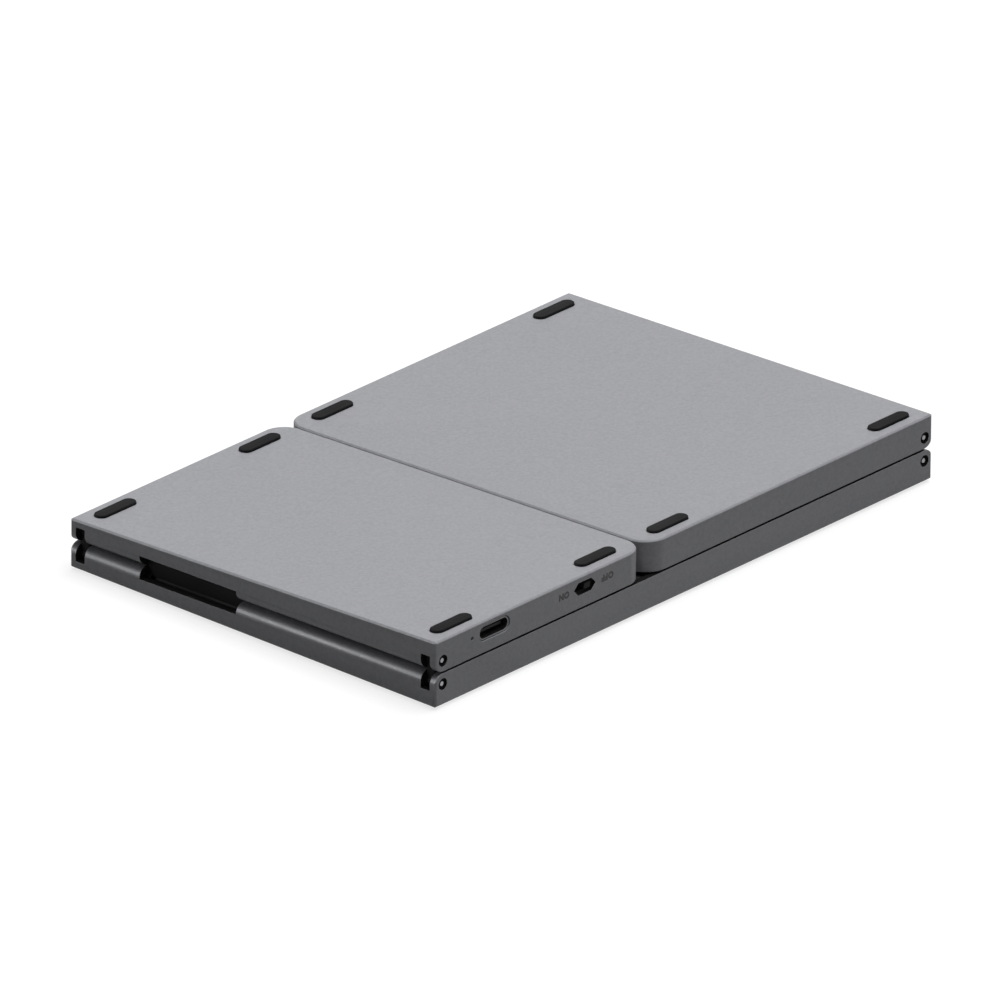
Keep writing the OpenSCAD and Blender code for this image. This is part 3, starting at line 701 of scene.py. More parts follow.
class Effects:
    """Node groups shared by the finishes, each built once."""

    coarse_share = 0.28  # scale of the mottle against that of the fine grain
    cell_share = 0.55  # scale of the cells that may catch the light
    chosen_cells = (0.93, 0.97)  # the share of the cells that do
    spark_reach = (0.12, 0.4)  # how far out from its middle a cell does
    middle = 0.5  # the value that noise is about
    wear_patches = (0.35, 0.65, 0.35)  # range of the noise, and the least wear
    smudge_range = (0.35, 0.65)
    smudge_swirl = 0.6
    dust_range = (0.7, 0.8)

    def __init__(self) -> None:
        """Builds the groups."""
        self.grain = self._grain()
        self.wear = self._wear()
        self.handling = self._handling()
        self.brushed = self._brushed()

    @staticmethod
    def fine_noise(graph: Graph, vector: NodeSocket, scale: object, detail: float) -> NodeSocket:
        """Noise with as many features in a metre as the scale says.

        Args:
            graph: where the node goes.
            vector: where it is read.
            scale: its scale.
            detail: how many finer layers it has.

        Returns:
            A value about 0.5.
        """
        return graph.node("ShaderNodeTexNoise", Vector=vector, Scale=scale, Detail=detail).outputs[0]

    def _grain(self) -> bpy.types.NodeTree:
        """Blasted grain: fine noise, a coarser mottle, and a few cells that catch the light, whose
        paler colour is a painted glint.

        Returns:
            The group.
        """
        graph, given, out = new_group(
            "blast_grain",
            {"Vector": (0.0, 0.0, 0.0), "Size": 0.0002, "Mottle": 0.5},
            {"Height": "NodeSocketFloat", "Shade": "NodeSocketFloat", "Spark": "NodeSocketFloat"},
        )
        where = given["Vector"]
        scale = graph.math("DIVIDE", 1.0, given["Size"])
        fine = self.fine_noise(graph, where, scale, 2.0)
        coarse = self.fine_noise(graph, where, graph.math("MULTIPLY", scale, self.coarse_share), 1.0)
        cell_scale = graph.math("MULTIPLY", scale, self.cell_share)
        cells = graph.node("ShaderNodeTexVoronoi", Vector=where, Scale=cell_scale).outputs
        seed = graph.node("ShaderNodeSeparateColor", Color=cells["Color"]).outputs[0]
        chosen = graph.spread(seed, *self.chosen_cells)
        near = graph.spread(cells["Distance"], *self.spark_reach, 1.0, 0.0)
        mottle = graph.math("SUBTRACT", coarse, self.middle)
        shade = graph.math("MULTIPLY_ADD", mottle, given["Mottle"], fine)
        graph.feed(out["Height"], fine)
        graph.feed(out["Shade"], shade)
        graph.feed(out["Spark"], graph.math("MULTIPLY", chosen, near))
        return graph.tree

    def _wear(self) -> bpy.types.NodeTree:
        """Edge wear: where the surface is sharply convex, broken up by noise.

        Returns:
            The group.
        """
        graph, given, out = new_group(
            "edge_wear",
            {"Vector": (0.0, 0.0, 0.0), "Start": 0.52, "Full": 0.6, "Patch": 0.003},
            {"Mask": "NodeSocketFloat"},
        )
        sharp = graph.node("ShaderNodeNewGeometry").outputs["Pointiness"]
        edge = graph.spread(sharp, given["Start"], given["Full"])
        scale = graph.math("DIVIDE", 1.0, given["Patch"])
        patches = graph.spread(self.fine_noise(graph, given["Vector"], scale, 3.0), *self.wear_patches)
        graph.feed(out["Mask"], graph.math("MULTIPLY", edge, patches))
        return graph.tree

    def _handling(self) -> bpy.types.NodeTree:
        """Handling: broad faint patches where fingers have changed the gloss, and fine dust.

        Returns:
            The group.
        """
        graph, given, out = new_group(
            "handling",
            {"Vector": (0.0, 0.0, 0.0), "Patch": 0.018, "Dust": 0.0004},
            {"Smudge": "NodeSocketFloat", "Dust": "NodeSocketFloat"},
        )
        broad = graph.math("DIVIDE", 1.0, given["Patch"])
        smudge = self.fine_noise(graph, given["Vector"], broad, 3.0)
        smudge.node.inputs["Distortion"].default_value = self.smudge_swirl
        specks = self.fine_noise(graph, given["Vector"], graph.math("DIVIDE", 1.0, given["Dust"]), 1.0)
        graph.feed(out["Smudge"], graph.spread(smudge, *self.smudge_range))
        graph.feed(out["Dust"], graph.spread(specks, *self.dust_range))
        return graph.tree

    def _brushed(self) -> bpy.types.NodeTree:
        """Brushed or ground lines: noise drawn out along one direction.

        Returns:
            The group.
        """
        graph, given, out = new_group(
            "ground_lines",
            {"Vector": (0.0, 0.0, 0.0), "Line": 0.00006},
            {"Height": "NodeSocketFloat"},
        )
        scale = graph.math("DIVIDE", 1.0, given["Line"])
        graph.feed(out["Height"], self.fine_noise(graph, given["Vector"], scale, 3.0))
        return graph.tree


class Finish:
    """A material under construction: its graph, its shader and its coordinates."""

    def __init__(self, name: str, effects: Effects) -> None:
        """Starts the material.

        Args:
            name: its name.
            effects: the shared node groups.
        """
        self.material = bpy.data.materials.new(name)
        self.material.use_nodes = True
        tree = self.material.node_tree
        tree.nodes.clear()
        self.graph = Graph(tree)
        self.effects = effects
        self.shader = tree.nodes.new("ShaderNodeBsdfPrincipled")
        end = tree.nodes.new("ShaderNodeOutputMaterial")
        tree.links.new(self.shader.outputs[0], end.inputs[0])
        self.where = tree.nodes.new("ShaderNodeTexCoord").outputs["Object"]

    def set(self, **values: object) -> None:
        """Sets or feeds the shader's sockets, where an underscore stands for a space."""
        for name, value in values.items():
            self.graph.feed(self.shader.inputs[name.replace("_", " ")], value)

    def group(self, tree: bpy.types.NodeTree, **values: object) -> dict[str, NodeSocket]:
        """Places a shared group, which reads the object's coordinates unless it is fed others.

        Args:
            tree: the group.
            values: its inputs by name.

        Returns:
            Its outputs by name.
        """
        made = self.graph.tree.nodes.new("ShaderNodeGroup")
        made.node_tree = tree
        for name, value in {"Vector": self.where, **values}.items():
            self.graph.feed(made.inputs[name], value)
        return {socket.name: socket for socket in made.outputs}

    def stretched(self, scale: Triple) -> NodeSocket:
        """Object coordinates scaled along each axis."""
        return self.graph.node("ShaderNodeMapping", Vector=self.where, Scale=scale).outputs[0]

    def bump(self, height: NodeSocket, depth: float, strength: float) -> None:
        """Feeds a height to the shader's normal.

        Args:
            height: the height, from 0 to 1.
            depth: its depth in metres.
            strength: how much of it shows.
        """
        bump = self.graph.node("ShaderNodeBump", Height=height, Distance=depth, Strength=strength)
        self.set(Normal=bump.outputs[0])


# ---------- Finishes ----------


@dataclass(frozen=True)
class Look:
    """A finish as a set of frozen values, which makes its material when asked."""

    name: str

    def build(self, effects: Effects) -> bpy.types.Material:
        """Makes the material.

        Args:
            effects: the shared node groups.

        Returns:
            The material.
        """
        made = Finish(self.name, effects)
        self.paint(made, made.graph)
        return made.material

    def paint(self, made: Finish, graph: Graph) -> None:
        """Feeds the shader. Each kind of finish has its own way.

        Args:
            made: the material under construction.
            graph: its graph.
        """
        raise NotImplementedError


@dataclass(frozen=True)
class BlastedMetal(Look):
    """Fine blasted and anodised aluminium."""

    light: Colour = (0.386, 0.39, 0.413)
    dark: Colour = (0.333, 0.337, 0.358)
    # paler colour of a few grains: a painted glint; their higher metallic is real shading
    painted_glint: Colour = (0.55, 0.55, 0.57)
    worn: Colour = (0.5, 0.5, 0.52)
    painted_glint_share: float = 0.6
    worn_share: float = 0.35
    metallic: float = 0.04
    spark_metallic: float = 0.1
    rough: Pair = (0.36, 0.42)
    specular: float = 0.1
    grain: float = 0.00022
    mottle: float = 0.8
    shade: Pair = (0.3, 0.7)
    patch: float = 0.03
    depth: float = 0.000012
    relief: float = 0.5

    def paint(self, made: Finish, graph: Graph) -> None:
        """Mottles the colour by the grain, paints a glint on a few grains, and pales the worn edges.

        Args:
            made: the material under construction.
            graph: its graph.
        """
        grain = made.group(made.effects.grain, Size=self.grain, Mottle=self.mottle)
        hand = made.group(made.effects.handling, Patch=self.patch)
        wear = made.group(made.effects.wear)
        tone = graph.spread(grain["Shade"], *self.shade)
        painted_glints = graph.math("MULTIPLY", grain["Spark"], self.painted_glint_share)
        edges = graph.math("MULTIPLY", wear["Mask"], self.worn_share)
        colour = graph.blend(tone, rgba(self.dark), rgba(self.light))
        colour = graph.blend(painted_glints, colour, rgba(self.painted_glint))
        colour = graph.blend(edges, colour, rgba(self.worn))
        rough = graph.spread(hand["Smudge"], 0.0, 1.0, *self.rough)
        metallic = graph.spread(grain["Spark"], 0.0, 1.0, self.metallic, self.spark_metallic)
        made.set(Base_Color=colour, Roughness=rough, Metallic=metallic)
        made.set(Specular_IOR_Level=self.specular)
        made.bump(grain["Height"], self.depth, self.relief)


@dataclass(frozen=True)
class Moulded(Look):
    """Moulded plastic, rubber or paint with a fine texture, faint handling marks and lighter edges."""

    base: Colour
    pale: Colour
    rough: float = 0.5
    rough_spread: float = 0.07
    specular: float = 0.4
    edge: float = 0.3
    dust: float = 0.12
    texture: float = 0.00012
    texture_share: float = 0.25
    texture_floor: float = 0.4
    depth: float = 0.000006
    relief: float = 0.6

    def paint(self, made: Finish, graph: Graph) -> None:
        """Pales the base colour on the edges, in the dust and on the texture's tips.

        Args:
            made: the material under construction.
            graph: its graph.
        """
        hand = made.group(made.effects.handling)
        wear = made.group(made.effects.wear)
        fine = graph.noise(made.where, self.texture)
        tips = graph.math("SUBTRACT", fine, self.texture_floor)
        paler = graph.math("MULTIPLY", wear["Mask"], self.edge)
        paler = graph.math("MULTIPLY_ADD", hand["Dust"], self.dust, paler)
        paler = graph.math("MULTIPLY_ADD", tips, self.texture_share, paler)
        colour = graph.blend(graph.spread(paler, 0.0, 1.0), rgba(self.base), rgba(self.pale))
        low, high = self.rough - self.rough_spread, self.rough + self.rough_spread
        rough = graph.spread(hand["Smudge"], 0.0, 1.0, low, high)
        made.set(Base_Color=colour, Roughness=rough, Specular_IOR_Level=self.specular)
        made.bump(fine, self.depth, self.relief)


@dataclass(frozen=True)
class GroundMetal(Look):
    """Bright metal with fine lines along one direction."""

    base: Colour
    dull: Colour
    rough: float = 0.3
    smoother: float = 0.06
    rougher: float = 0.1
    line: float = 0.00008
    stretch: Triple = (0.06, 1.0, 1.0)
    line_share: float = 0.5
    smudge_share: float = 0.3
    shade: Pair = (0.15, 0.6)
    metallic: float = 0.9
    depth: float = 0.000003
    relief: float = 0.5

    def paint(self, made: Finish, graph: Graph) -> None:
        """Dulls the base colour, and roughens it, along the lines and where hands have been.

        Args:
            made: the material under construction.
            graph: its graph.
        """
        where = made.stretched(self.stretch)
        lines = made.group(made.effects.brushed, Vector=where, Line=self.line)["Height"]
        hand = made.group(made.effects.handling)
        smudge = graph.math("MULTIPLY", hand["Smudge"], self.smudge_share)
        share = graph.math("MULTIPLY_ADD", lines, self.line_share, smudge)
        colour = graph.blend(graph.spread(share, *self.shade), rgba(self.base), rgba(self.dull))
        low, high = self.rough - self.smoother, self.rough + self.rougher
        rough = graph.spread(share, *self.shade, low, high)
        made.set(Base_Color=colour, Roughness=rough, Metallic=self.metallic)
        made.bump(lines, self.depth, self.relief)


@dataclass(frozen=True)
class Ink(Look):
    """Printed or etched marks, slightly uneven."""

    strong: Colour
    weak: Colour
    patch: float = 0.0003
    detail: float = 3.0
    shade: Pair = (0.4, 0.7)
    gloss: Pair = (0.3, 0.7)
    rough: Pair = (0.5, 0.7)

    def paint(self, made: Finish, graph: Graph) -> None:
        """Weakens the colour in patches, which are also rougher.

        Args:
            made: the material under construction.
            graph: its graph.
        """
        patch = graph.noise(made.where, self.patch, self.detail)
        colour = graph.blend(graph.spread(patch, *self.shade), rgba(self.strong), rgba(self.weak))
        made.set(Base_Color=colour, Roughness=graph.spread(patch, *self.gloss, *self.rough))


@dataclass(frozen=True)
class Film(Look):
    """Thin plastic film with printed silver tracks."""

    sheet: Colour
    track: Colour
    pitch: float = 0.0012
    waves: float = 0.31
    waver: float = 1.2
    wave_detail: float = 1.0
    line_edge: Pair = (0.72, 0.78)
    line_share: float = 0.7
    cloud: float = 0.004
    cloud_range: Pair = (0.3, 0.7)
    cloud_share: float = 0.4
    rough: Pair = (0.28, 0.45)
    depth: float = 0.00001
    relief: float = 0.5

    def paint(self, made: Finish, graph: Graph) -> None:
        """Clouds the sheet and lays wavering tracks on it.

        Args:
            made: the material under construction.
            graph: its graph.
        """
        wave = graph.node(
            "ShaderNodeTexWave",
            Vector=made.where,
            Scale=self.waves / self.pitch,
            Distortion=self.waver,
            Detail=self.wave_detail,
        )
        line = graph.spread(wave.outputs["Fac"], *self.line_edge)
        cloud = graph.noise(made.where, self.cloud)
        cloud = graph.spread(cloud, *self.cloud_range, 0.0, self.cloud_share)
        base = graph.blend(cloud, rgba(self.sheet), rgba(self.track))
        colour = graph.blend(graph.math("MULTIPLY", line, self.line_share), base, rgba(self.track))
        made.set(Base_Color=colour, Roughness=graph.spread(line, 0.0, 1.0, *self.rough))
        made.bump(line, self.depth, self.relief)


def grey(value: float, tint: float) -> Colour:
    """A grey with a blue of its own."""
    return (value, value, tint)


# near-black paint on the trays' rims, slots, counterbores, recesses and switch opening: painted shade
SHADE_PAINT = Moulded("tray_painted_shade", grey(0.004, 0.0042), grey(0.016, 0.017), 0.7, specular=0.1, edge=0.1)
LEGEND_INK = Ink("legend_ink", (0.62, 0.62, 0.61), (0.5, 0.5, 0.5))
MARK_INK = Ink("mark_ink", grey(0.014, 0.015), grey(0.04, 0.042))
CONTACT_GOLD = GroundMetal("contact_gold", (0.83, 0.6, 0.28), (0.66, 0.46, 0.2), 0.28)
FINISHES = {
    "tray_metal": BlastedMetal("blasted_metal"),
    "frame_grey": Moulded(
        "frame_plastic", (0.03, 0.0305, 0.032), (0.08, 0.081, 0.084), 0.55, specular=0.25
    ),
    "key_black": Moulded(
        "key_plastic", grey(0.016, 0.0172), grey(0.045, 0.047), texture=0.00016, specular=0.25
    ),
    "key_rubber": Moulded("dome_silicone", grey(0.62, 0.6), grey(0.75, 0.73), 0.45, edge=0.1),
    "lever_white": Moulded("lever_plastic", grey(0.72, 0.69), grey(0.82, 0.8), 0.4, edge=0.1),
    "sheet_clear": Film("membrane_film", (0.5, 0.53, 0.55), (0.72, 0.73, 0.74)),
    "plate_steel": GroundMetal("rolled_plate", (0.5, 0.51, 0.53), (0.38, 0.39, 0.41), 0.38),
    "screw_steel": GroundMetal(
        "zinc_screw", grey(0.55, 0.57), grey(0.4, 0.43), stretch=(1.0, 1.0, 0.1)
    ),
    "magnet_metal": GroundMetal("nickel_plating", (0.68, 0.67, 0.66), grey(0.55, 0.54), 0.18),
    "foot_rubber": Moulded(
        "foot_rubber", (0.0065, 0.0066, 0.0073), grey(0.022, 0.0235), 0.65, specular=0.08
    ),
    "link_black": Moulded("link_paint", grey(0.004, 0.0042), grey(0.016, 0.017), 0.65, specular=0.06),
    "cover_black": Moulded(
        "cover_plastic", grey(0.003, 0.0032), grey(0.012, 0.0125), 0.65, specular=0.05
    ),
    "cable_film": Film("cable_film", (0.05, 0.03, 0.012), (0.24, 0.13, 0.04), pitch=0.0008),
    "pin_steel": GroundMetal(
        "ground_pin", grey(0.36, 0.372), grey(0.25, 0.26), stretch=(1.0, 0.1, 1.0)
    ),
    "battery_foil": GroundMetal(
        "battery_foil", (0.55, 0.56, 0.58), (0.45, 0.46, 0.48), 0.35, line=0.0004
    ),
    "board_green": Film("solder_mask", (0.012, 0.075, 0.035), (0.03, 0.13, 0.06), pitch=0.0007),
    "port_steel": GroundMetal("stamped_steel", grey(0.17, 0.176), grey(0.11, 0.115)),
    "port_black": Moulded("port_plastic", grey(0.008, 0.0085), grey(0.03, 0.031), 0.55, specular=0.2),
    "slider_black": Moulded(
        "slider_plastic", grey(0.008, 0.0085), grey(0.05, 0.053), 0.6, specular=0.2
    ),
    "lamp_clear": Moulded(
        "lamp_lens", (0.05, 0.055, 0.06), (0.12, 0.13, 0.14), 0.3, edge=0.1, specular=0.3
    ),
}


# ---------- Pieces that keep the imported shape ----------


@dataclass
class RigidCopies:
    """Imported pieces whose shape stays: merged copies whose edges are rounded a little."""

    materials: dict[str, bpy.types.Material]
    slots: dict[str, str] = field(default_factory=node_slots)
    bodies: dict[str, str] = field(default_factory=node_bodies)
    sharp_deg: float = 30.0
    flat_deg: float = 0.3
    face_weight: int = 100

    def finish(self, obj: bpy.types.Object, node: str) -> None:
        """Gives a piece the body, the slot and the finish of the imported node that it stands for.

        Args:
            obj: the piece.
            node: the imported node.
        """
        slot = self.slots[node]
        dress(obj, self.bodies[node], slot, self.materials[slot], node)

    def copy(self, node: str, name: str, edge: float, segments: int = 2) -> bpy.types.Object:
        """Copies a node, merges its loose triangles and rounds its edges.

        Args:
            node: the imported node.
            name: name of the copy.
            edge: radius of the rounding in millimetres.
            segments: steps across it.

        Returns:
            The copy.
        """
        data = frame["nodes"][node].data.copy()
        data.name = name
        tidy_mesh(data, self.sharp_deg, outwards=False, flat_deg=self.flat_deg)
        obj = add_object(name, data)
        bevel = obj.modifiers.new("rounded_edges", "BEVEL")
        bevel.width = edge * MM
        bevel.segments = segments
        bevel.limit_method = "ANGLE"
        bevel.angle_limit = math.radians(self.sharp_deg)
        bevel.use_clamp_overlap = False
        bevel.harden_normals = True
        bevel.miter_outer = "MITER_ARC"
        shading = obj.modifiers.new("flat_faces", "WEIGHTED_NORMAL")
        shading.weight = self.face_weight
        shading.keep_sharp = True
        self.finish(obj, node)
        return obj

    def recolour(self, node: str) -> None:
        """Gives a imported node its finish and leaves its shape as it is.

        Args:
            node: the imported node.
        """
        obj = frame["nodes"][node]
        obj.data.materials.clear()
        obj.data.materials.append(self.materials[self.slots[node]])
        LOG.info("%s: finished in place", node)


# ---------- Feet ----------


@dataclass
class Feet:
    """Rubber pads with round ends, set into seats in the outer faces."""

    copies: RigidCopies
    length: float = 11.2
    width: float = 3.1
    sink: float = 0.3
    seat_gap: float = 0.08
    fillet: float = 0.22
    crown: float = 0.04
    fillet_steps: int = 5
    crown_steps: tuple[float, ...] = (0.35, 0.7, 1.0)

    def profile(self) -> list[Pair]:
        """Inset from the seat's outline and height below the face, from the seat to the crown.

        The fillet is a quarter of an ellipse, and the crown rises straight to the middle line.

        Returns:
            Pairs of inset and height.
        """
        low = BODY.foot_proud - self.fillet
        rows = [(self.seat_gap, self.sink), (self.seat_gap, -low)]
        for turn in np.linspace(0.0, math.pi / 2, self.fillet_steps + 1)[1:]:
            inset = self.seat_gap + self.fillet * (1 - math.cos(turn))
            rows.append((inset, -low - (self.fillet - self.crown) * math.sin(turn)))
        middle = self.width / 2 - HUB
        for share in self.crown_steps:
            inset = rows[-1][0] * (1 - share) + middle * share
            rows.append((inset, -BODY.foot_proud + self.crown * (1 - share)))
        return rows

    def build(self, part: Part) -> None:
        """Makes the four feet of one panel.

        Args:
            part: the panel.
        """
        node = f"{part.value}_feet"
        face = BODY.outer_face(part)
        low, high = node_box(node, face)
        shape = Shape()
        for x in (low[0] + self.length / 2, high[0] - self.length / 2):
            for y in (low[1] + self.width / 2, high[1] - self.width / 2):
                shape.tube(np.stack([self.ring(x, y, inset, z) for inset, z in self.profile()]))
        self.copies.finish(shape.mesh(f"{part.value}_rubber_feet", face), node)

    def ring(self, x: float, y: float, inset: float, z: float) -> np.ndarray:
        """One outline of a foot: two half circles joined by straight sides.

        Args:
            x: middle of the foot along the panel.
            y: middle of the foot across it.
            inset: distance inside the seat's outline.
            z: height.

        Returns:
            The ring's points.
        """
        half_w = self.length / 2 - inset
        half_h = self.width / 2 - inset
        flat = rounded_rect(half_w, half_h, half_h, arc=8, side=2)
        return lift_ring(flat + np.array([x, y]), z)


# ---------- Trays ----------


@dataclass
class Trays:
    """The metal trays. Their rims, slots, counterbores and recesses are painted black, as painted
    shade.
    """

    copies: RigidCopies
    shade_paint: bpy.types.Material
    edge: float = 0.08
    ear_t: float = 1.5
    slot_w: float = 2.3
    slot_r: float = 1.15
    mouth_r: float = 1.2
    mouth_depth: float = 0.5
    cover_recess_w: float = 25.3
    cover_from_back: float = 64.7
    cover_reach: float = 2.2
    cover_floor: float = 0.05
    cheek_r: float = 0.8
    trunnion_len: float = 1.8
    switch_half_w: float = 3.2
    switch_half_h: float = 1.3
    wall_cut: float = 5.0
    # depth of the band on the rims that gets the painted shade
    rim_shade_depth: float = 0.09
    slack: float = 0.03

    def hinge_zones(self) -> list[tuple[Triple, Triple]]:
        """Boxes at a hinge end, with x out of it: slots, counterbores, and the cover's recess, which
        get the painted shade.

        Returns:
            The lowest and the highest corner of each box.
        """
        side, far = BODY.depth / 2, BODY.length / 2
        pin_x, pin_z = far - BODY.knuckle_r, -BODY.knuckle_r
        mouth_x, mouth_z = (pin_x - self.mouth_r, pin_x + self.mouth_r), pin_z + self.mouth_r
        boxes = []
        for s in (-1, 1):
            slot = sorted(s * (side - self.ear_t - inward) for inward in (0.0, self.slot_w))
            boxes.append(((pin_x - self.slot_r, slot[0], pin_z - self.slot_r), (far, slot[1], 0.0)))
            mouth = sorted(s * (side - inward) for inward in (0.0, self.mouth_depth))
            low = (mouth_x[0], mouth[0], pin_z - self.mouth_r)
            boxes.append((low, (mouth_x[1], mouth[1], mouth_z)))
        cover_y = side - self.cover_from_back
        left, right = cover_y - self.cover_recess_w / 2, cover_y + self.cover_recess_w / 2
        inner_x, cheek_z = pin_x - self.cover_reach, pin_z - self.cheek_r
        boxes.append(((inner_x, left, pin_z + self.cover_floor), (far, right, 0.0)))
        low = (pin_x - self.cheek_r, left - self.trunnion_len, cheek_z)
        boxes.append((low, (pin_x + self.cheek_r, right + self.trunnion_len, pin_z + self.cheek_r)))
        boxes += [((inner_x, y, cheek_z), (far, y, 0.0)) for y in (left, right)]
        return boxes

    def zones(self, part: Part) -> list[np.ndarray]:
        """Boxes in the panel's own millimetres that hold nothing but faces with the painted shade.

        Args:
            part: the panel.

        Returns:
            One array for each box, with its lowest and highest corners.
        """
        side, far = BODY.depth / 2, BODY.length / 2
        ends = {Part.CENTRE: (-1, 1), Part.RIGHT: (-1,), Part.LEFT: (1,)}[part]
        rim = (-far + BODY.knuckle_r * (-1 in ends), far - BODY.knuckle_r * (1 in ends))
        shade_painted = [((rim[0], -side, -self.rim_shade_depth), (rim[1], side, 0.0))]
        for end in ends:
            for low, high in self.hinge_zones():
                x = sorted((end * low[0], end * high[0]))
                shade_painted.append(((x[0], *low[1:]), (x[1], *high[1:])))
        if part is Part.RIGHT:
            x, z = BODY.switch_at - far, BODY.port_height - BODY.back_t
            low = (x - self.switch_half_w, side - self.wall_cut, z - self.switch_half_h)
            shade_painted.append((low, (x + self.switch_half_w, side, z + self.switch_half_h)))
        return [np.array(box) for box in shade_painted]

    def line(self, obj: bpy.types.Object, part: Part) -> None:
        """Gives the black painted shade to each face whose corners all lie in one box.

        Args:
            obj: the tray.
            part: its panel.
        """
        data = obj.data
        points = moved(mesh_points(data), BODY.panel(part).inverted())
        corners = np.empty(len(data.loops), int)
        data.loops.foreach_get("vertex_index", corners)
        starts = np.empty(len(data.polygons), int)
        data.polygons.foreach_get("loop_start", starts)
        shade_painted = np.zeros(len(starts), bool)
        for low, high in self.zones(part):
            inside = ((points >= low - self.slack) & (points <= high + self.slack)).all(axis=1)
            shade_painted |= np.logical_and.reduceat(inside[corners], starts)
        data.materials.append(self.shade_paint)
        data.polygons.foreach_set("material_index", shade_painted.astype(np.int32))
        LOG.info("%s: %d lined faces", obj.name, int(shade_painted.sum()))

    def build(self) -> None:
        """Makes the three trays."""
        for part in Part:
            obj = self.copies.copy(f"{part.value}_tray", f"{part.value}_metal_tray", self.edge)
            self.line(obj, part)


# ---------- Hinges ----------


@dataclass
class HingePins:
    """Ground steel pins with chamfered, slightly domed ends that stand in the counterbores."""

    copies: RigidCopies
    radius: float = 0.5
    stand: float = 0.36
    chamfer: float = 0.1
    dome: float = 0.04
    dome_steps: tuple[float, ...] = (0.03, 0.5, 1.0)
    around: int = 32

    def profile(self, length: float) -> np.ndarray:
        """Radius and height along one pin: a chamfer and a shallow dome at each end.

        Args:
            length: length of the pin.

        Returns:
            Rows of radius and height, from one end to the other.
        """
        face = self.radius - self.chamfer
        shares = np.array(self.dome_steps)
        end = np.stack([face * shares, self.dome * shares**2], axis=1)
        end = np.concatenate([end, [[self.radius, self.dome + self.chamfer]]])
        return np.concatenate([end, (end * (1, -1) + (0, length))[::-1]])

    def build(self, side: int, level: str) -> None:
        """Makes the two pins of one hinge in one panel.

        Args:
            side: 1 for the right hinge, -1 for the left.
            level: lower or upper.
        """
        name = f"{'right' if side > 0 else 'left'}_{level}_pins"
        at_hinge = BODY.hinge(side)
        spread = node_points(name, at_hinge)
        high = spread[:, 1].max()
        low = spread[spread[:, 1] > 0, 1].min()
        z = BODY.pin_spacing if level == "upper" else 0.0
        rings = lathe(self.profile(high - low + self.stand), self.around)
        shape = Shape()
        for s in (-1, 1):
            along = np.stack([rings[..., 0], s * (low + rings[..., 2]), z + rings[..., 1]], axis=-1)
            shape.tube(along)
        self.copies.finish(shape.mesh(f"{name}_ground", at_hinge), name)


# ---------- Keys ----------


@dataclass(frozen=True)
class KeyRow:
    """One row of keys that move together: its node, panel, relative widths and legends."""

    node: str
    part: Part
    legends: tuple[str, ...]
    widths: tuple[float, ...] = ()

    def shares(self) -> tuple[float, ...]:
        """Relative widths of its keys."""
        return self.widths or (1.0,) * len(self.legends)


KEY_ROWS = (
    KeyRow("left_keys_1", Part.LEFT, ("esc", "!\n1", "@\n2", "#\n3")),
    KeyRow("left_keys_2", Part.LEFT, ("tab", "Q", "W", "E"), (1.12, 1.0, 1.0, 1.0)),
    KeyRow("left_keys_3", Part.LEFT, ("caps", "A", "S", "D"), (1.32, 1.0, 1.0, 1.0)),
    KeyRow("left_keys_4", Part.LEFT, ("shift", "Z", "X", "C"), (1.55, 1.0, 1.0, 1.0)),
    KeyRow("left_keys_5", Part.LEFT, ("fn", "ctrl", "alt", "cmd")),
    KeyRow("centre_keys_1", Part.CENTRE, ("$\n4", "%\n5", "^\n6", "&\n7", "*\n8", "(\n9", ")\n0")),
    KeyRow("centre_keys_2", Part.CENTRE, ("R", "T", "Y", "U", "I", "O", "P")),
    KeyRow("centre_keys_3", Part.CENTRE, ("F", "G", "H", "J", "K", "L", ":\n;")),
    KeyRow("centre_keys_4", Part.CENTRE, ("V", "B", "N", "M", "<\n,", ">\n.", "?\n/")),
    KeyRow("space_bar", Part.CENTRE, ("",)),
    KeyRow("centre_keys_5", Part.CENTRE, ("alt", "ctrl")),
    KeyRow("right_keys_1", Part.RIGHT, ("_\n-", "+\n=", "back")),
    KeyRow("right_keys_2", Part.RIGHT, ("{\n[", "}\n]", "|\n\\")),
    KeyRow("right_keys_3", Part.RIGHT, ("\"\n'", "enter"), (1.0, 2.0)),
    KeyRow("right_keys_4", Part.RIGHT, ("shift", "↑", "del")),
    KeyRow("right_keys_5", Part.RIGHT, ("←", "↓", "→")),
)


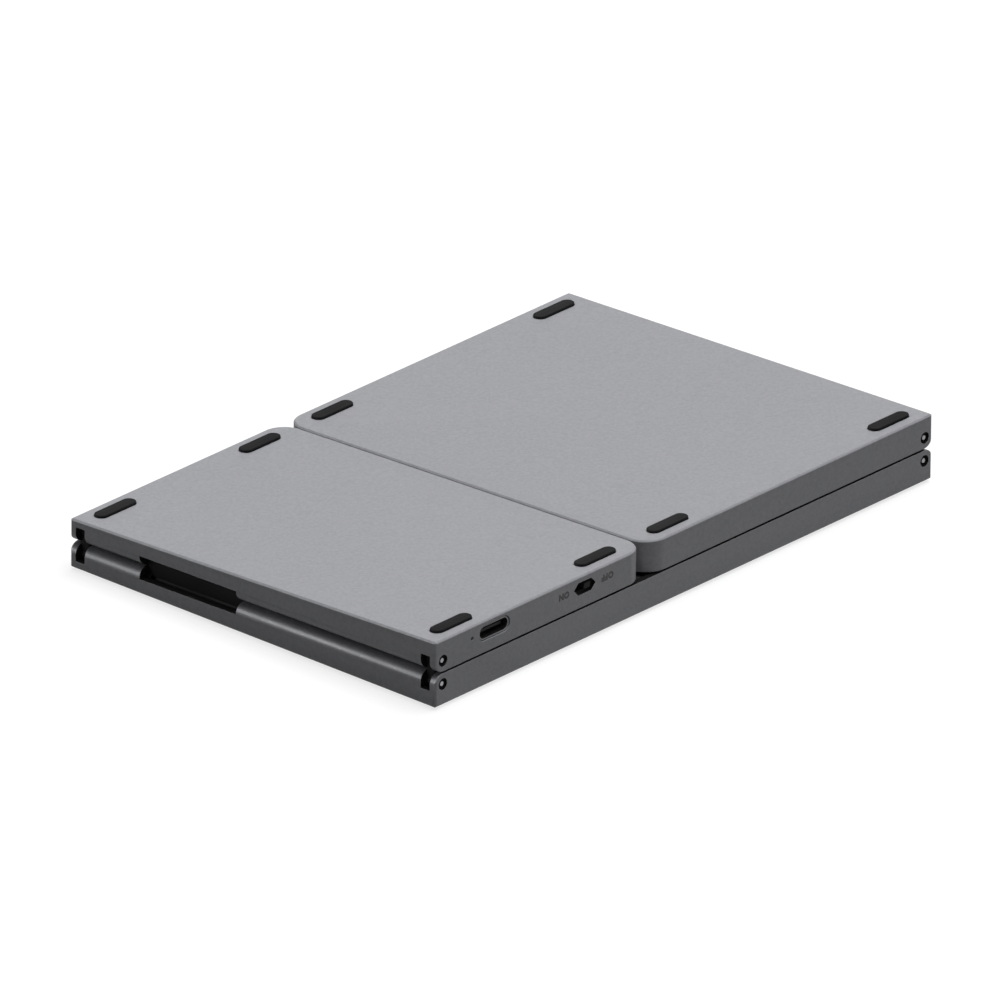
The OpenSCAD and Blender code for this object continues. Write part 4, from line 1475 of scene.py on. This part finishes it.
@dataclass
class Keys:
    """Key caps: hollow, drafted, with rounded edges and a dish that runs from front to back."""

    copies: RigidCopies
    ink: bpy.types.Material
    spacing: float = 2.0
    radius: float = 1.3
    wall: float = 0.8
    top_t: float = 0.6
    draft: float = 0.12
    fillet: float = 0.22
    fillet_steps: int = 4
    corner_steps: int = 5
    side_points: int = 11
    dish: float = 0.14
    dish_steps: tuple[float, ...] = (0.94, 0.86, 0.76, 0.65, 0.53, 0.4, 0.26, 0.12, 0.02)
    rim: float = 0.45
    flat_above: float = 40.0
    legend_lift: float = 0.012
    letter_size: float = 4.2
    pair_size: float = 3.0
    word_size: float = 2.5

    def dish_depth(self, x: np.ndarray, half_w: float) -> np.ndarray:
        """Depth of the dish: the square of 1 minus the square of the distance from the middle line
        as a share of the dish's half width, so it leaves the rim without a crease.

        Args:
            x: distance from the key's middle line.
            half_w: half the width of the cap.

        Returns:
            The depth at each x, zero on the rim and on a long key.
        """
        if half_w * 2 > self.flat_above:
            return np.zeros_like(x)
        reach = half_w - self.draft - self.fillet - self.rim
        return self.dish * np.clip(1 - (x / reach) ** 2, 0.0, 1.0) ** 2

    def cap(
        self, x: float, y: float, half_w: float, half_h: float, low: float, high: float
    ) -> np.ndarray:
        """Rings of one cap, from the middle of its ceiling, down inside the skirt, up outside it and
        over the dished top to the middle.

        Args:
            x: middle of the key.
            y: middle of the key.
            half_w: half its width.
            half_h: half its depth.
            low: height of the skirt's edge.
            high: height of the rim.

        Returns:
            The rings.
        """
        ceiling = high - self.top_t
        inner = self.plan(half_w, half_h, self.wall)
        hub = inner * self.dish_steps[-1]
        rings = [lift_ring(hub, ceiling), lift_ring(inner, ceiling), lift_ring(inner, low)]
        rings.append(lift_ring(self.plan(half_w, half_h, 0.0), low))
        start = (self.draft, high - self.fillet)
        rings.append(lift_ring(self.plan(half_w, half_h, self.draft), start[1]))
        for inset, z in quarter(start, (self.draft + self.fillet, high), self.fillet_steps):
            flat = self.plan(half_w, half_h, inset)
            share = (z - start[1]) / self.fillet
            rings.append(lift_ring(flat, z - share * self.dish_depth(flat[:, 0], half_w)))
        for share in self.dish_steps:
            inside = flat * share
            rings.append(lift_ring(inside, high - self.dish_depth(inside[:, 0], half_w)))
        return np.stack(rings) + np.array([x, y, 0.0])

    def plan(self, half_w: float, half_h: float, inset: float) -> np.ndarray:
        """Outline of a cap drawn in by an inset."""
        radius = self.radius - inset / 2
        return rounded_rect(half_w - inset, half_h - inset, radius, self.corner_steps, self.side_points)

    def size_of(self, legend: str) -> float:
        """Height of the type for a legend."""
        alone = self.letter_size if len(legend) == 1 else self.word_size
        return self.pair_size if "\n" in legend else alone

    def build(self, row: KeyRow, letters: Lettering) -> None:
        """Makes one row of caps and their legends.

        Args:
            row: the row.
            letters: the lettering.
        """
        place = BODY.panel(row.part)
        low, high = node_box(row.node, place)
        unit = (high[0] - low[0] + self.spacing) / sum(row.shares())
        y, half_h = (low[1] + high[1]) / 2, (high[1] - low[1]) / 2
        caps, marks = Shape(), Shape()
        start = low[0]
        for share, legend in zip(row.shares(), row.legends):
            width = unit * share - self.spacing
            x = start + width / 2
            caps.tube(self.cap(x, y, width / 2, half_h, low[2], high[2]))
            start += unit * share
            if legend:
                points, faces = letters.word(legend, self.size_of(legend))
                drop = self.dish_depth(points[:, 0], width / 2)
                points[:, 2] += high[2] - drop + self.legend_lift - letters.thickness / 2
                marks.add(points + np.array([x, y, 0.0]), faces)
        self.copies.finish(caps.mesh(f"{row.node}_caps", place, FINE_DEG), row.node)
        if marks.points:
            obj = marks.mesh(f"{row.node}_legends", place)
            dress(obj, self.copies.bodies[row.node], "key_black", self.ink)


@dataclass
class KeySupports:
    """Rubber domes and crossed levers under each key."""

    copies: RigidCopies
    travel: float = 1.0
    apart: float = 4.0
    dome_r: float = 2.5
    top_r: float = 1.25
    top_flat: float = 0.6
    top_round: float = 0.1
    rim_h: float = 0.24
    rim_round: float = 0.05
    wall: float = 0.5
    roof: float = 0.65
    roof_round: Pair = (0.1, 0.12)
    shoulder: float = 0.78
    hollow_steps: int = 6
    skirt_steps: int = 7
    brow_steps: int = 3
    lever_len: float = 10.0
    lever_w: float = 8.2
    bar: float = 0.5
    bars_high: float = 1.3
    play: float = 0.1
    corner: float = 0.5
    section_points: int = 12
    stub_r: float = 0.15
    stub_len: float = 0.3

    def stations(self, row: KeyRow, place: Matrix) -> tuple[list[Circle], float, float]:
        """Where the domes of one row stand.

        Args:
            row: the row.
            place: from the panel to the frame.

        Returns:
            A middle and radius for each dome, the membrane's height and the domes' top.
        """
        points = node_points(f"{row.part.value}_domes", place)
        low, high = node_box(row.node, place)
        inside = (points[:, :2] > low[:2]).all(axis=1) & (points[:, :2] < high[:2]).all(axis=1)
        base, top = points[:, 2].min(), points[:, 2].max()
        return cluster(points[inside & (points[:, 2] > top - LEVEL), :2], self.apart), base, top

    def dome(self, height: float) -> np.ndarray:
        """Rings of one dome: a rim, a skirt that bends like a quarter of an ellipse, and a flat top,
        with the same again inside.

        Args:
            height: height of the dome.

        Returns:
            The rings, from the middle of the hollow's roof to the middle of the top.
        """
        roof, hollow_r = self.roof * height, self.top_r - self.wall
        across, down = self.roof_round
        inner = [(HUB, roof), (hollow_r, roof), (hollow_r + across, roof - down)]
        inner += quarter(inner[-1], (self.dome_r - self.wall, 0.0), self.hollow_steps, -1).tolist()
        outer = [(self.dome_r - self.rim_round, 0.0), (self.dome_r, self.rim_round)]
        outer.append((self.dome_r, self.rim_h))
        shoulder, brow = (self.top_r, self.shoulder * height), (self.top_r, height - self.top_round)
        foot = (self.dome_r - self.top_round, self.rim_h)
        outer += quarter(shoulder, foot, self.skirt_steps, -1)[::-1].tolist() + [shoulder, brow]
        outer += quarter(brow, (self.top_r - self.top_round, height), self.brow_steps).tolist()
        outer += [(self.top_r * self.top_flat, height), (HUB, height)]
        return lathe(np.array(inner + outer))

    def frame_bar(self, half_l: float, half_w: float, tilt: float, middle: float) -> np.ndarray:
        """Rings of one lever: a bar with rounded edges carried round a rectangle and tilted.

        The bar's section is a squircle, whose x and y are the signed square roots of the cosine and
        the sine scaled to the bar.

        Args:
            half_l: half the lever's length, outside.
            half_w: half its width, outside.
            tilt: its tilt in radians.
            middle: height of its middle.

        Returns:
            The rings round the lever.
        """
        path = rounded_rect(half_l - self.bar / 2, half_w - self.bar / 2, self.corner, arc=4, side=2)
        ahead = np.roll(path, -1, axis=0) - np.roll(path, 1, axis=0)
        along = ahead / np.linalg.norm(ahead, axis=1, keepdims=True)
        out = np.stack([along[:, 1], -along[:, 0]], axis=1)
        turn = np.linspace(0.0, 2 * math.pi, self.section_points, endpoint=False)
        circle = np.stack([np.cos(turn), np.sin(turn)])
        wide, tall = np.sign(circle) * np.sqrt(np.abs(circle)) * self.bar / 2
        flat = path[:, None, :] + out[:, None, :] * wide[None, :, None]
        heights = np.broadcast_to(tall, flat.shape[:2])[..., None]
        rings = np.concatenate([flat, heights], axis=2)
        lean = Matrix.Translation((0.0, 0.0, middle)) @ Matrix.Rotation(tilt, 4, "Y")
        return moved(rings, lean)

    def levers(self, shape: Shape, spot: np.ndarray, height: float) -> None:
        """Adds one pair of crossed levers and the stub pins at their crossing.

        Args:
            shape: the shape they are added to.
            spot: middle of the key's support at the membrane.
            height: height of the support.
        """
        tilt = math.asin((height - self.bars_high * self.bar) / self.lever_len)
        inner_w = self.lever_w / 2 - self.bar - self.play
        middle = height / 2
        half_l = self.lever_len / 2
        shape.loop(self.frame_bar(half_l, self.lever_w / 2, tilt, middle) + spot)
        shape.loop(self.frame_bar(half_l - 2 * self.bar, inner_w, -tilt, middle) + spot)
        r, end = self.stub_r, self.stub_len
        stub = np.array([(FINE_HUB, 0.0), (r, 0.0), (r, end), (FINE_HUB, end)])
        rings = lathe(stub, self.section_points)
        for s in (-1, 1):
            y = s * (inner_w - self.play + rings[..., 2])
            shape.tube(np.stack([rings[..., 0], y, middle + rings[..., 1]], axis=-1) + spot)

    def build(self, row: KeyRow) -> None:
        """Makes the domes and levers of one row.

        Args:
            row: the row.
        """
        place = BODY.panel(row.part)
        spots, base, top = self.stations(row, place)
        domes, levers = Shape(), Shape()
        for x, y, _ in spots:
            spot = np.array([x, y, base])
            domes.tube(self.dome(top - base) + spot)
            self.levers(levers, spot, top - base)
        for label, shape, node in (
            ("domes", domes, f"{row.part.value}_domes"),
            ("levers", levers, f"{row.part.value}_scissors"),
        ):
            obj = shape.mesh(f"{row.node}_{label}", place, FINE_DEG)
            self.copies.finish(obj, node)
            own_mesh(obj)


# ---------- Ports ----------


@dataclass
class Socket:
    """USB-C socket: stamped shell, tongue and its contacts."""

    copies: RigidCopies
    gold: bpy.types.Material
    contacts: int = 12
    pitch: float = 0.5
    contact_w: float = 0.28
    contact_len: float = 2.2
    contact_t: float = 0.02
    set_back: float = 0.2
    nose: float = 0.35
    nose_taper: float = 0.35
    arch_steps: int = 6

    def strip(self, x: float, y: float, z: float, up: int) -> np.ndarray:
        """Rings of one contact: a thin bar whose section is a low arch, tapered at its front end.

        Args:
            x: middle of the bar.
            y: its front end.
            z: the tongue's surface.
            up: 1 above the tongue, -1 below.

        Returns:
            The rings along the bar.
        """
        turn = np.linspace(0.0, math.pi, self.arch_steps + 1)
        arch = np.stack([np.cos(turn) * self.contact_w / 2, np.sin(turn) * self.contact_t], axis=1)
        rings = []
        for back, grow in ((0.0, self.nose_taper), (self.nose, 1.0), (self.contact_len, 1.0)):
            wide, tall = x + arch[:, 0] * grow, z + up * arch[:, 1] * grow
            rings.append(np.column_stack([wide, np.full(len(arch), y - back), tall]))
        return np.stack(rings)

    def build(self) -> None:
        """Makes the shell, the tongue and the contacts."""
        self.copies.copy("usb_c_shell", "usb_c_stamped_shell", FINE_EDGE, segments=3)
        self.copies.copy("usb_c_tongue", "usb_c_moulded_tongue", SOFT_EDGE, segments=3)
        place = port_place(0.0)
        low, high = node_box("usb_c_tongue", place)
        shape = Shape()
        offsets = (np.arange(self.contacts) - (self.contacts - 1) / 2) * self.pitch
        for up, z in ((1, high[2]), (-1, low[2])):
            for x in (low[0] + high[0]) / 2 + offsets:
                shape.tube(self.strip(x, high[1] - self.set_back, z, up))
        obj = shape.mesh("usb_c_contacts", place)
        dress(obj, self.copies.bodies["usb_c_tongue"], "port_steel", self.gold)


@dataclass
class PowerSwitch:
    """Slide switch: a ribbed knob, its body and the two marks beside it."""

    copies: RigidCopies
    ink: bpy.types.Material
    ribs: int = 5
    rib_depth: float = 0.12
    rib_steps: int = 8
    fillet: float = 0.1
    fillet_steps: int = 3
    mark_size: float = 1.85
    mark_weight: float = 0.12
    mark_spacing: float = 1.12
    on_at: float = -6.2
    off_at: float = 6.8

    def outline(self, half_w: float, back: float, front: float) -> np.ndarray:
        """Plan of the knob: straight sides and back, and a front whose ribs follow a cosine.

        Args:
            half_w: half the knob's length along the edge.
            back: y of its back.
            front: y of the ribs' tips.

        Returns:
            The points, anticlockwise.
        """
        x = np.linspace(half_w, -half_w, self.rib_steps * self.ribs + 1)
        wave = (1 - np.cos(2 * math.pi * self.ribs * (x / half_w + 1) / 2)) / 2
        ribs = np.stack([x, front - self.rib_depth * (1 - wave)], axis=1)
        return np.concatenate([ribs, [[-half_w, back], [half_w, back]]])

    def knob(self) -> None:
        """Makes the knob."""
        place = port_place(BODY.switch_at)
        low, high = node_box("power_switch_slider", place)
        x, half_w = (low[0] + high[0]) / 2, (high[0] - low[0]) / 2
        start, end = (self.fillet, low[2]), (0.0, low[2] + self.fillet)
        steps = [start, *quarter(start, end, self.fillet_steps, -1)]
        steps += [(inset, low[2] + high[2] - z) for inset, z in steps[::-1]]
        rings = []
        for inset, z in steps:
            plan = self.outline(half_w - inset, low[1] + inset, high[1] - inset)
            rings.append(lift_ring(plan + (x, 0.0), z))
        obj = Shape().tube(np.stack(rings)).mesh("power_switch_ribbed_knob", place, FINE_DEG)
        self.copies.finish(obj, "power_switch_slider")

    def marks(self, letters: Lettering) -> None:
        """Makes the marks on the back edge, upright when the keyboard is open.

        Args:
            letters: the lettering.
        """
        place = port_place(BODY.switch_at)
        shape = Shape()
        for word, x in (("ON", self.on_at), ("OFF", self.off_at)):
            points, faces = letters.word(word, self.mark_size, self.mark_weight, self.mark_spacing)
            flat = np.stack([-points[:, 0] + x, points[:, 2], points[:, 1]], axis=1)
            shape.add(flat, [face[::-1] for face in faces])
        obj = shape.mesh("power_switch_marks", place)
        dress(obj, Part.RIGHT.body, "port_black", self.ink)

    def build(self, letters: Lettering) -> None:
        """Makes the body, the knob and the marks.

        Args:
            letters: the lettering.
        """
        self.copies.copy("power_switch_body", "power_switch_stamped_body", FINE_EDGE)
        self.knob()
        self.marks(letters)


@dataclass
class Lamp:
    """Light pipe whose outer end is a small lens."""

    copies: RigidCopies
    lamp_at: float = 11.0
    lens: float = 0.14
    lens_steps: int = 6
    chamfer: float = 0.08

    def build(self) -> None:
        """Makes the pipe: a turned bar with a domed front and a chamfered back."""
        place = port_place(self.lamp_at)
        low, high = node_box("lamp_light_pipe", place)
        radius = (high[0] - low[0]) / 2
        rows = [(HUB, low[1]), (radius - self.chamfer, low[1]), (radius, low[1] + self.chamfer)]
        rows.append((radius, high[1] - self.lens))
        rows += quarter(rows[-1], (FINE_HUB, high[1]), self.lens_steps).tolist()
        rings = lathe(np.array(rows))
        along = np.stack([rings[..., 0], rings[..., 2], rings[..., 1]], axis=-1)
        self.copies.finish(Shape().tube(along).mesh("lamp_lens_pipe", place), "lamp_light_pipe")


# ---------- Inside ----------


@dataclass
class PlateScrews:
    """Small pan-head screws with a cross recess."""

    copies: RigidCopies
    recess_r: float = 0.72
    recess_depth: float = 0.16
    recess_floor: float = 0.3
    cross: float = 0.55
    thread_pitch: float = 0.3
    thread_depth: float = 0.07
    thread_steps: int = 4
    thread_start: float = 0.1
    tip_len: float = 0.15
    tip_share: float = 0.5
    crown_share: float = 0.86
    crown_drop: float = 0.12
    crown_steps: int = 3
    under_round: float = 0.02
    apart: float = 3.0
    steps: int = 32

    def rings(self, head_r: float, shank_r: float, top: float, under: float, tip: float) -> np.ndarray:
        """Rings of one screw, from the middle of its recess over the head and down to its tip.

        The recess is a cross: its radius shrinks with the squared sine of twice the angle. The thread
        is a row of ridges whose radius follows a cosine of the height.

        Args:
            head_r: radius of the head.
            shank_r: radius of the shank.
            top: height of the head.
            under: height of the head's underside.
            tip: height of the tip.

        Returns:
            The rings.
        """
        turn = np.linspace(0.0, 2 * math.pi, self.steps, endpoint=False)
        lobes = 1 - self.cross * np.sin(2 * turn) ** 2
        floor, crown = top - self.recess_depth, (head_r * self.crown_share, top)
        recess = [(HUB, floor, 1.0), (self.recess_floor, floor, lobes), (self.recess_r, top, lobes)]
        rows = [crown, *quarter(crown, (head_r, top - self.crown_drop), self.crown_steps, -1)]
        rows += [(head_r, under + self.under_round), (head_r - self.under_round, under)]
        rows.append((shank_r, under))
        start = under - self.thread_start
        heights = np.arange(start, tip + self.tip_len, -self.thread_pitch / self.thread_steps)
        ridge = (1 - np.cos(2 * math.pi * (start - heights) / self.thread_pitch)) / 2
        rows += zip(shank_r - self.thread_depth * ridge, heights)
        rows += [(shank_r * self.tip_share, tip), (FINE_HUB, tip)]
        rows = recess + [(r, height, 1.0) for r, height in rows]
        radii = np.stack([r * shape * np.ones(self.steps) for r, _, shape in rows])
        z = np.array([height for _, height, _ in rows])
        flat = np.stack([radii * np.cos(turn), radii * np.sin(turn)], axis=-1)
        return np.concatenate([flat, np.broadcast_to(z[:, None, None], (*radii.shape, 1))], axis=-1)

    def build(self, part: Part) -> None:
        """Makes the screws of one panel, where its packed screws are.

        Args:
            part: the panel.
        """
        node = f"{part.value}_plate_screws"
        place = BODY.panel(part)
        points = node_points(node, place)
        tip, under, top = np.unique(points[:, 2].round(3))
        heads = cluster(points[points[:, 2] > top - LEVEL, :2], self.apart)
        shanks = cluster(points[points[:, 2] < tip + LEVEL, :2], self.apart)
        shape = Shape()
        for x, y, head_r in heads:
            shape.tube(self.rings(head_r, shanks[0][2], top, under, tip) + np.array([x, y, 0.0]))
        self.copies.finish(shape.mesh(f"{node}_threaded", place), node)


@dataclass
class Battery:
    """Foil pouch cell: crowned faces and a folded seam round its edge."""

    copies: RigidCopies
    radius: float = 1.0
    least_radius: float = 0.05
    corner_steps: int = 5
    side_points: int = 6
    seam: float = 0.5
    seam_t: float = 0.3
    rise: tuple[float, ...] = (0.0, 0.02, 0.1, 0.3, 0.7, 1.4, 3.0)
    ridge: float = 0.1

    def build(self) -> None:
        """Makes the pouch from rings that swell from the seam to a nearly flat face.

        The height of a face follows the square root of the distance from the seam, as a filled
        pouch does, until it reaches its full thickness.
        """
        face = BODY.outer_face(Part.CENTRE)
        low, high = node_box("battery", face)
        middle, half = (low + high) / 2, (high - low) / 2
        rise, edge = np.array(self.rise), self.seam_t / 2
        swell = edge + (half[2] - edge) * np.sqrt(rise / rise[-1])
        top = [(0.0, 0.0), (0.0, edge), *zip(self.seam + rise, swell), (half[1] - self.ridge, half[2])]
        rings = []
        for inset, z in [(inset, -z) for inset, z in top[:0:-1]] + top:
            radius = max(self.radius - inset, self.least_radius)
            wide, deep = half[:2] - inset
            flat = rounded_rect(wide, deep, radius, self.corner_steps, self.side_points)
            rings.append(lift_ring(flat + middle[:2], middle[2] + z))
        self.copies.finish(Shape().tube(np.stack(rings)).mesh("battery_pouch", face), "battery")


# ---------- Stage ----------


WHITE = (1.0, 1.0, 1.0, 1.0)


@dataclass
class Studio:
    """Pale floor and world, a soft overhead light, a strip light seen only in gloss, and the camera."""

    azimuth: float = 130.407
    elevation: float = 24.664
    roll: float = 1.48
    distance: float = 7.0
    pixels_per_mm: float = 5.055
    frame_px: float = 1000.0
    centre_px: Pair = (502.6, 494.0)
    sensor_mm: float = 36.0
    floor_size: float = 60.0
    clip: Pair = (0.1, 100.0)
    key_strength: float = 2.8
    key_angle: float = 50.0
    key_from: Triple = (-0.2, 0.06, 0.97)
    strip_strength: float = 3.0
    strip_angle: float = 26.0
    strip_from: Triple = (0.765, -0.589, 0.26)
    world_strength: float = 0.03
    floor_bounce: float = 0.15
    floor_glow: float = 0.76
    floor_paper: float = 0.32

    def camera(self) -> None:
        """Sets up the camera: a long lens above the back edge, aimed a little off the middle."""
        turn, rise, tilt = (math.radians(v) for v in (self.azimuth, self.elevation, self.roll))
        flat = math.cos(rise)
        back = Vector((math.sin(turn) * flat, -math.cos(turn) * flat, math.sin(rise)))
        level = Vector((math.cos(turn), math.sin(turn), 0.0))
        upright = back.cross(level)
        right = level * math.cos(tilt) + upright * math.sin(tilt)
        up = upright * math.cos(tilt) - level * math.sin(tilt)
        target = Vector((0.0, 0.0, BODY.settled().translation.z))
        half = self.frame_px / 2
        aside = right * (half - self.centre_px[0]) + up * (self.centre_px[1] - half)
        data = bpy.data.cameras.new("camera")
        data.sensor_width = self.sensor_mm
        data.lens = self.pixels_per_mm * self.distance * self.sensor_mm / self.frame_px / MM
        data.clip_start, data.clip_end = self.clip
        place = Matrix((right, up, back)).transposed().to_4x4()
        place.translation = target + back * self.distance + aside * (MM / self.pixels_per_mm)
        obj = add_object("camera", data)
        obj.matrix_world = place
        bpy.context.scene.camera = obj

    def sun(self, name: str, strength: float, angle: float, towards: Triple) -> bpy.types.Object:
        """Adds a distant soft light.

        Args:
            name: its name.
            strength: its strength.
            angle: how wide it looks, in degrees.
            towards: direction from the keyboard to the light.

        Returns:
            The light.
        """
        data = bpy.data.lights.new(name, "SUN")
        data.energy = strength
        data.angle = math.radians(angle)
        obj = add_object(name, data)
        obj.rotation_euler = Vector(towards).to_track_quat("Z", "Y").to_euler()
        return obj

    def seen(self, graph: Graph) -> NodeSocket:
        """Tells the rays that show a surface from those that only light others.

        Args:
            graph: where the nodes go.

        Returns:
            A value that is 1 for camera, glossy and transmission rays and 0 for the rest.
        """
        path = graph.tree.nodes.new("ShaderNodeLightPath").outputs
        either = graph.math("MAXIMUM", path["Is Camera Ray"], path["Is Glossy Ray"])
        return graph.math("MAXIMUM", either, path["Is Transmission Ray"])

    def floor(self) -> None:
        """Lays the floor: white to the eye, and darker to the light that it throws back."""
        half = self.floor_size / 2
        data = bpy.data.meshes.new("floor")
        corners = [(-half, -half, 0.0), (half, -half, 0.0), (half, half, 0.0), (-half, half, 0.0)]
        data.from_pydata(corners, [], [(0, 1, 2, 3)])
        obj = add_object("floor", data)
        material = bpy.data.materials.new("floor_paper")
        material.use_nodes = True
        graph = Graph(material.node_tree)
        shader = material.node_tree.nodes["Principled BSDF"]
        seen = self.seen(graph)
        dim, paper = rgba((self.floor_bounce,) * 3), rgba((self.floor_paper,) * 3)
        graph.feed(shader.inputs["Base Color"], graph.blend(seen, dim, paper))
        shader.inputs["Emission Color"].default_value = WHITE
        graph.feed(shader.inputs["Emission Strength"], graph.math("MULTIPLY", seen, self.floor_glow))
        shader.inputs["Roughness"].default_value = 1.0
        shader.inputs["Specular IOR Level"].default_value = 0.0
        data.materials.append(material)

    def world(self) -> None:
        """White surroundings to the eye, and a faint even light on the keyboard."""
        world = bpy.data.worlds.new("studio")
        world.use_nodes = True
        bpy.context.scene.world = world
        graph = Graph(world.node_tree)
        sky = world.node_tree.nodes["Background"]
        sky.inputs["Color"].default_value = WHITE
        strength = graph.spread(self.seen(graph), 0.0, 1.0, self.world_strength, 1.0)
        graph.feed(sky.inputs["Strength"], strength)

    def build(self) -> None:
        """Sets up the camera, the lights, the floor and the world."""
        bpy.context.scene.view_settings.view_transform = "Standard"
        self.camera()
        self.sun("overhead_light", self.key_strength, self.key_angle, self.key_from)
        strip = self.sun("strip_light", self.strip_strength, self.strip_angle, self.strip_from)
        strip.visible_diffuse = False
        self.floor()
        self.world()


def main() -> None:
    """Builds the studio and every piece."""
    logging.basicConfig(level=logging.INFO, format="%(name)s: %(message)s")
    Studio().build()
    effects = Effects()
    materials = {slot: finish.build(effects) for slot, finish in FINISHES.items()}
    legend_ink, mark_ink = LEGEND_INK.build(effects), MARK_INK.build(effects)
    copies = RigidCopies(materials)
    letters = Lettering()
    Trays(copies, SHADE_PAINT.build(effects)).build()
    for part in Part:
        Feet(copies).build(part)
        PlateScrews(copies).build(part)
    for side in (1, -1):
        hand = "right" if side > 0 else "left"
        copies.copy(f"{hand}_end_links", f"{hand}_painted_links", SOFT_EDGE, segments=3)
        copies.copy(f"{hand}_cable_cover", f"{hand}_moulded_cover", FINE_EDGE)
        for level in ("lower", "upper"):
            HingePins(copies).build(side, level)
    keys, supports = Keys(copies, legend_ink), KeySupports(copies)
    for row in KEY_ROWS:
        keys.build(row, letters)
        supports.build(row)
    for part in Part:
        copies.copy(f"{part.value}_key_frame", f"{part.value}_moulded_frame", FINE_EDGE)
        copies.copy(f"{part.value}_magnets", f"{part.value}_plated_magnets", SOFT_EDGE)
    Socket(copies, CONTACT_GOLD.build(effects)).build()
    PowerSwitch(copies, mark_ink).build(letters)
    Lamp(copies).build()
    Battery(copies).build()
    for node in frame["nodes"]:
        if not frame["nodes"][node].hide_render:
            copies.recolour(node)


if __name__ == "__main__":
    main()
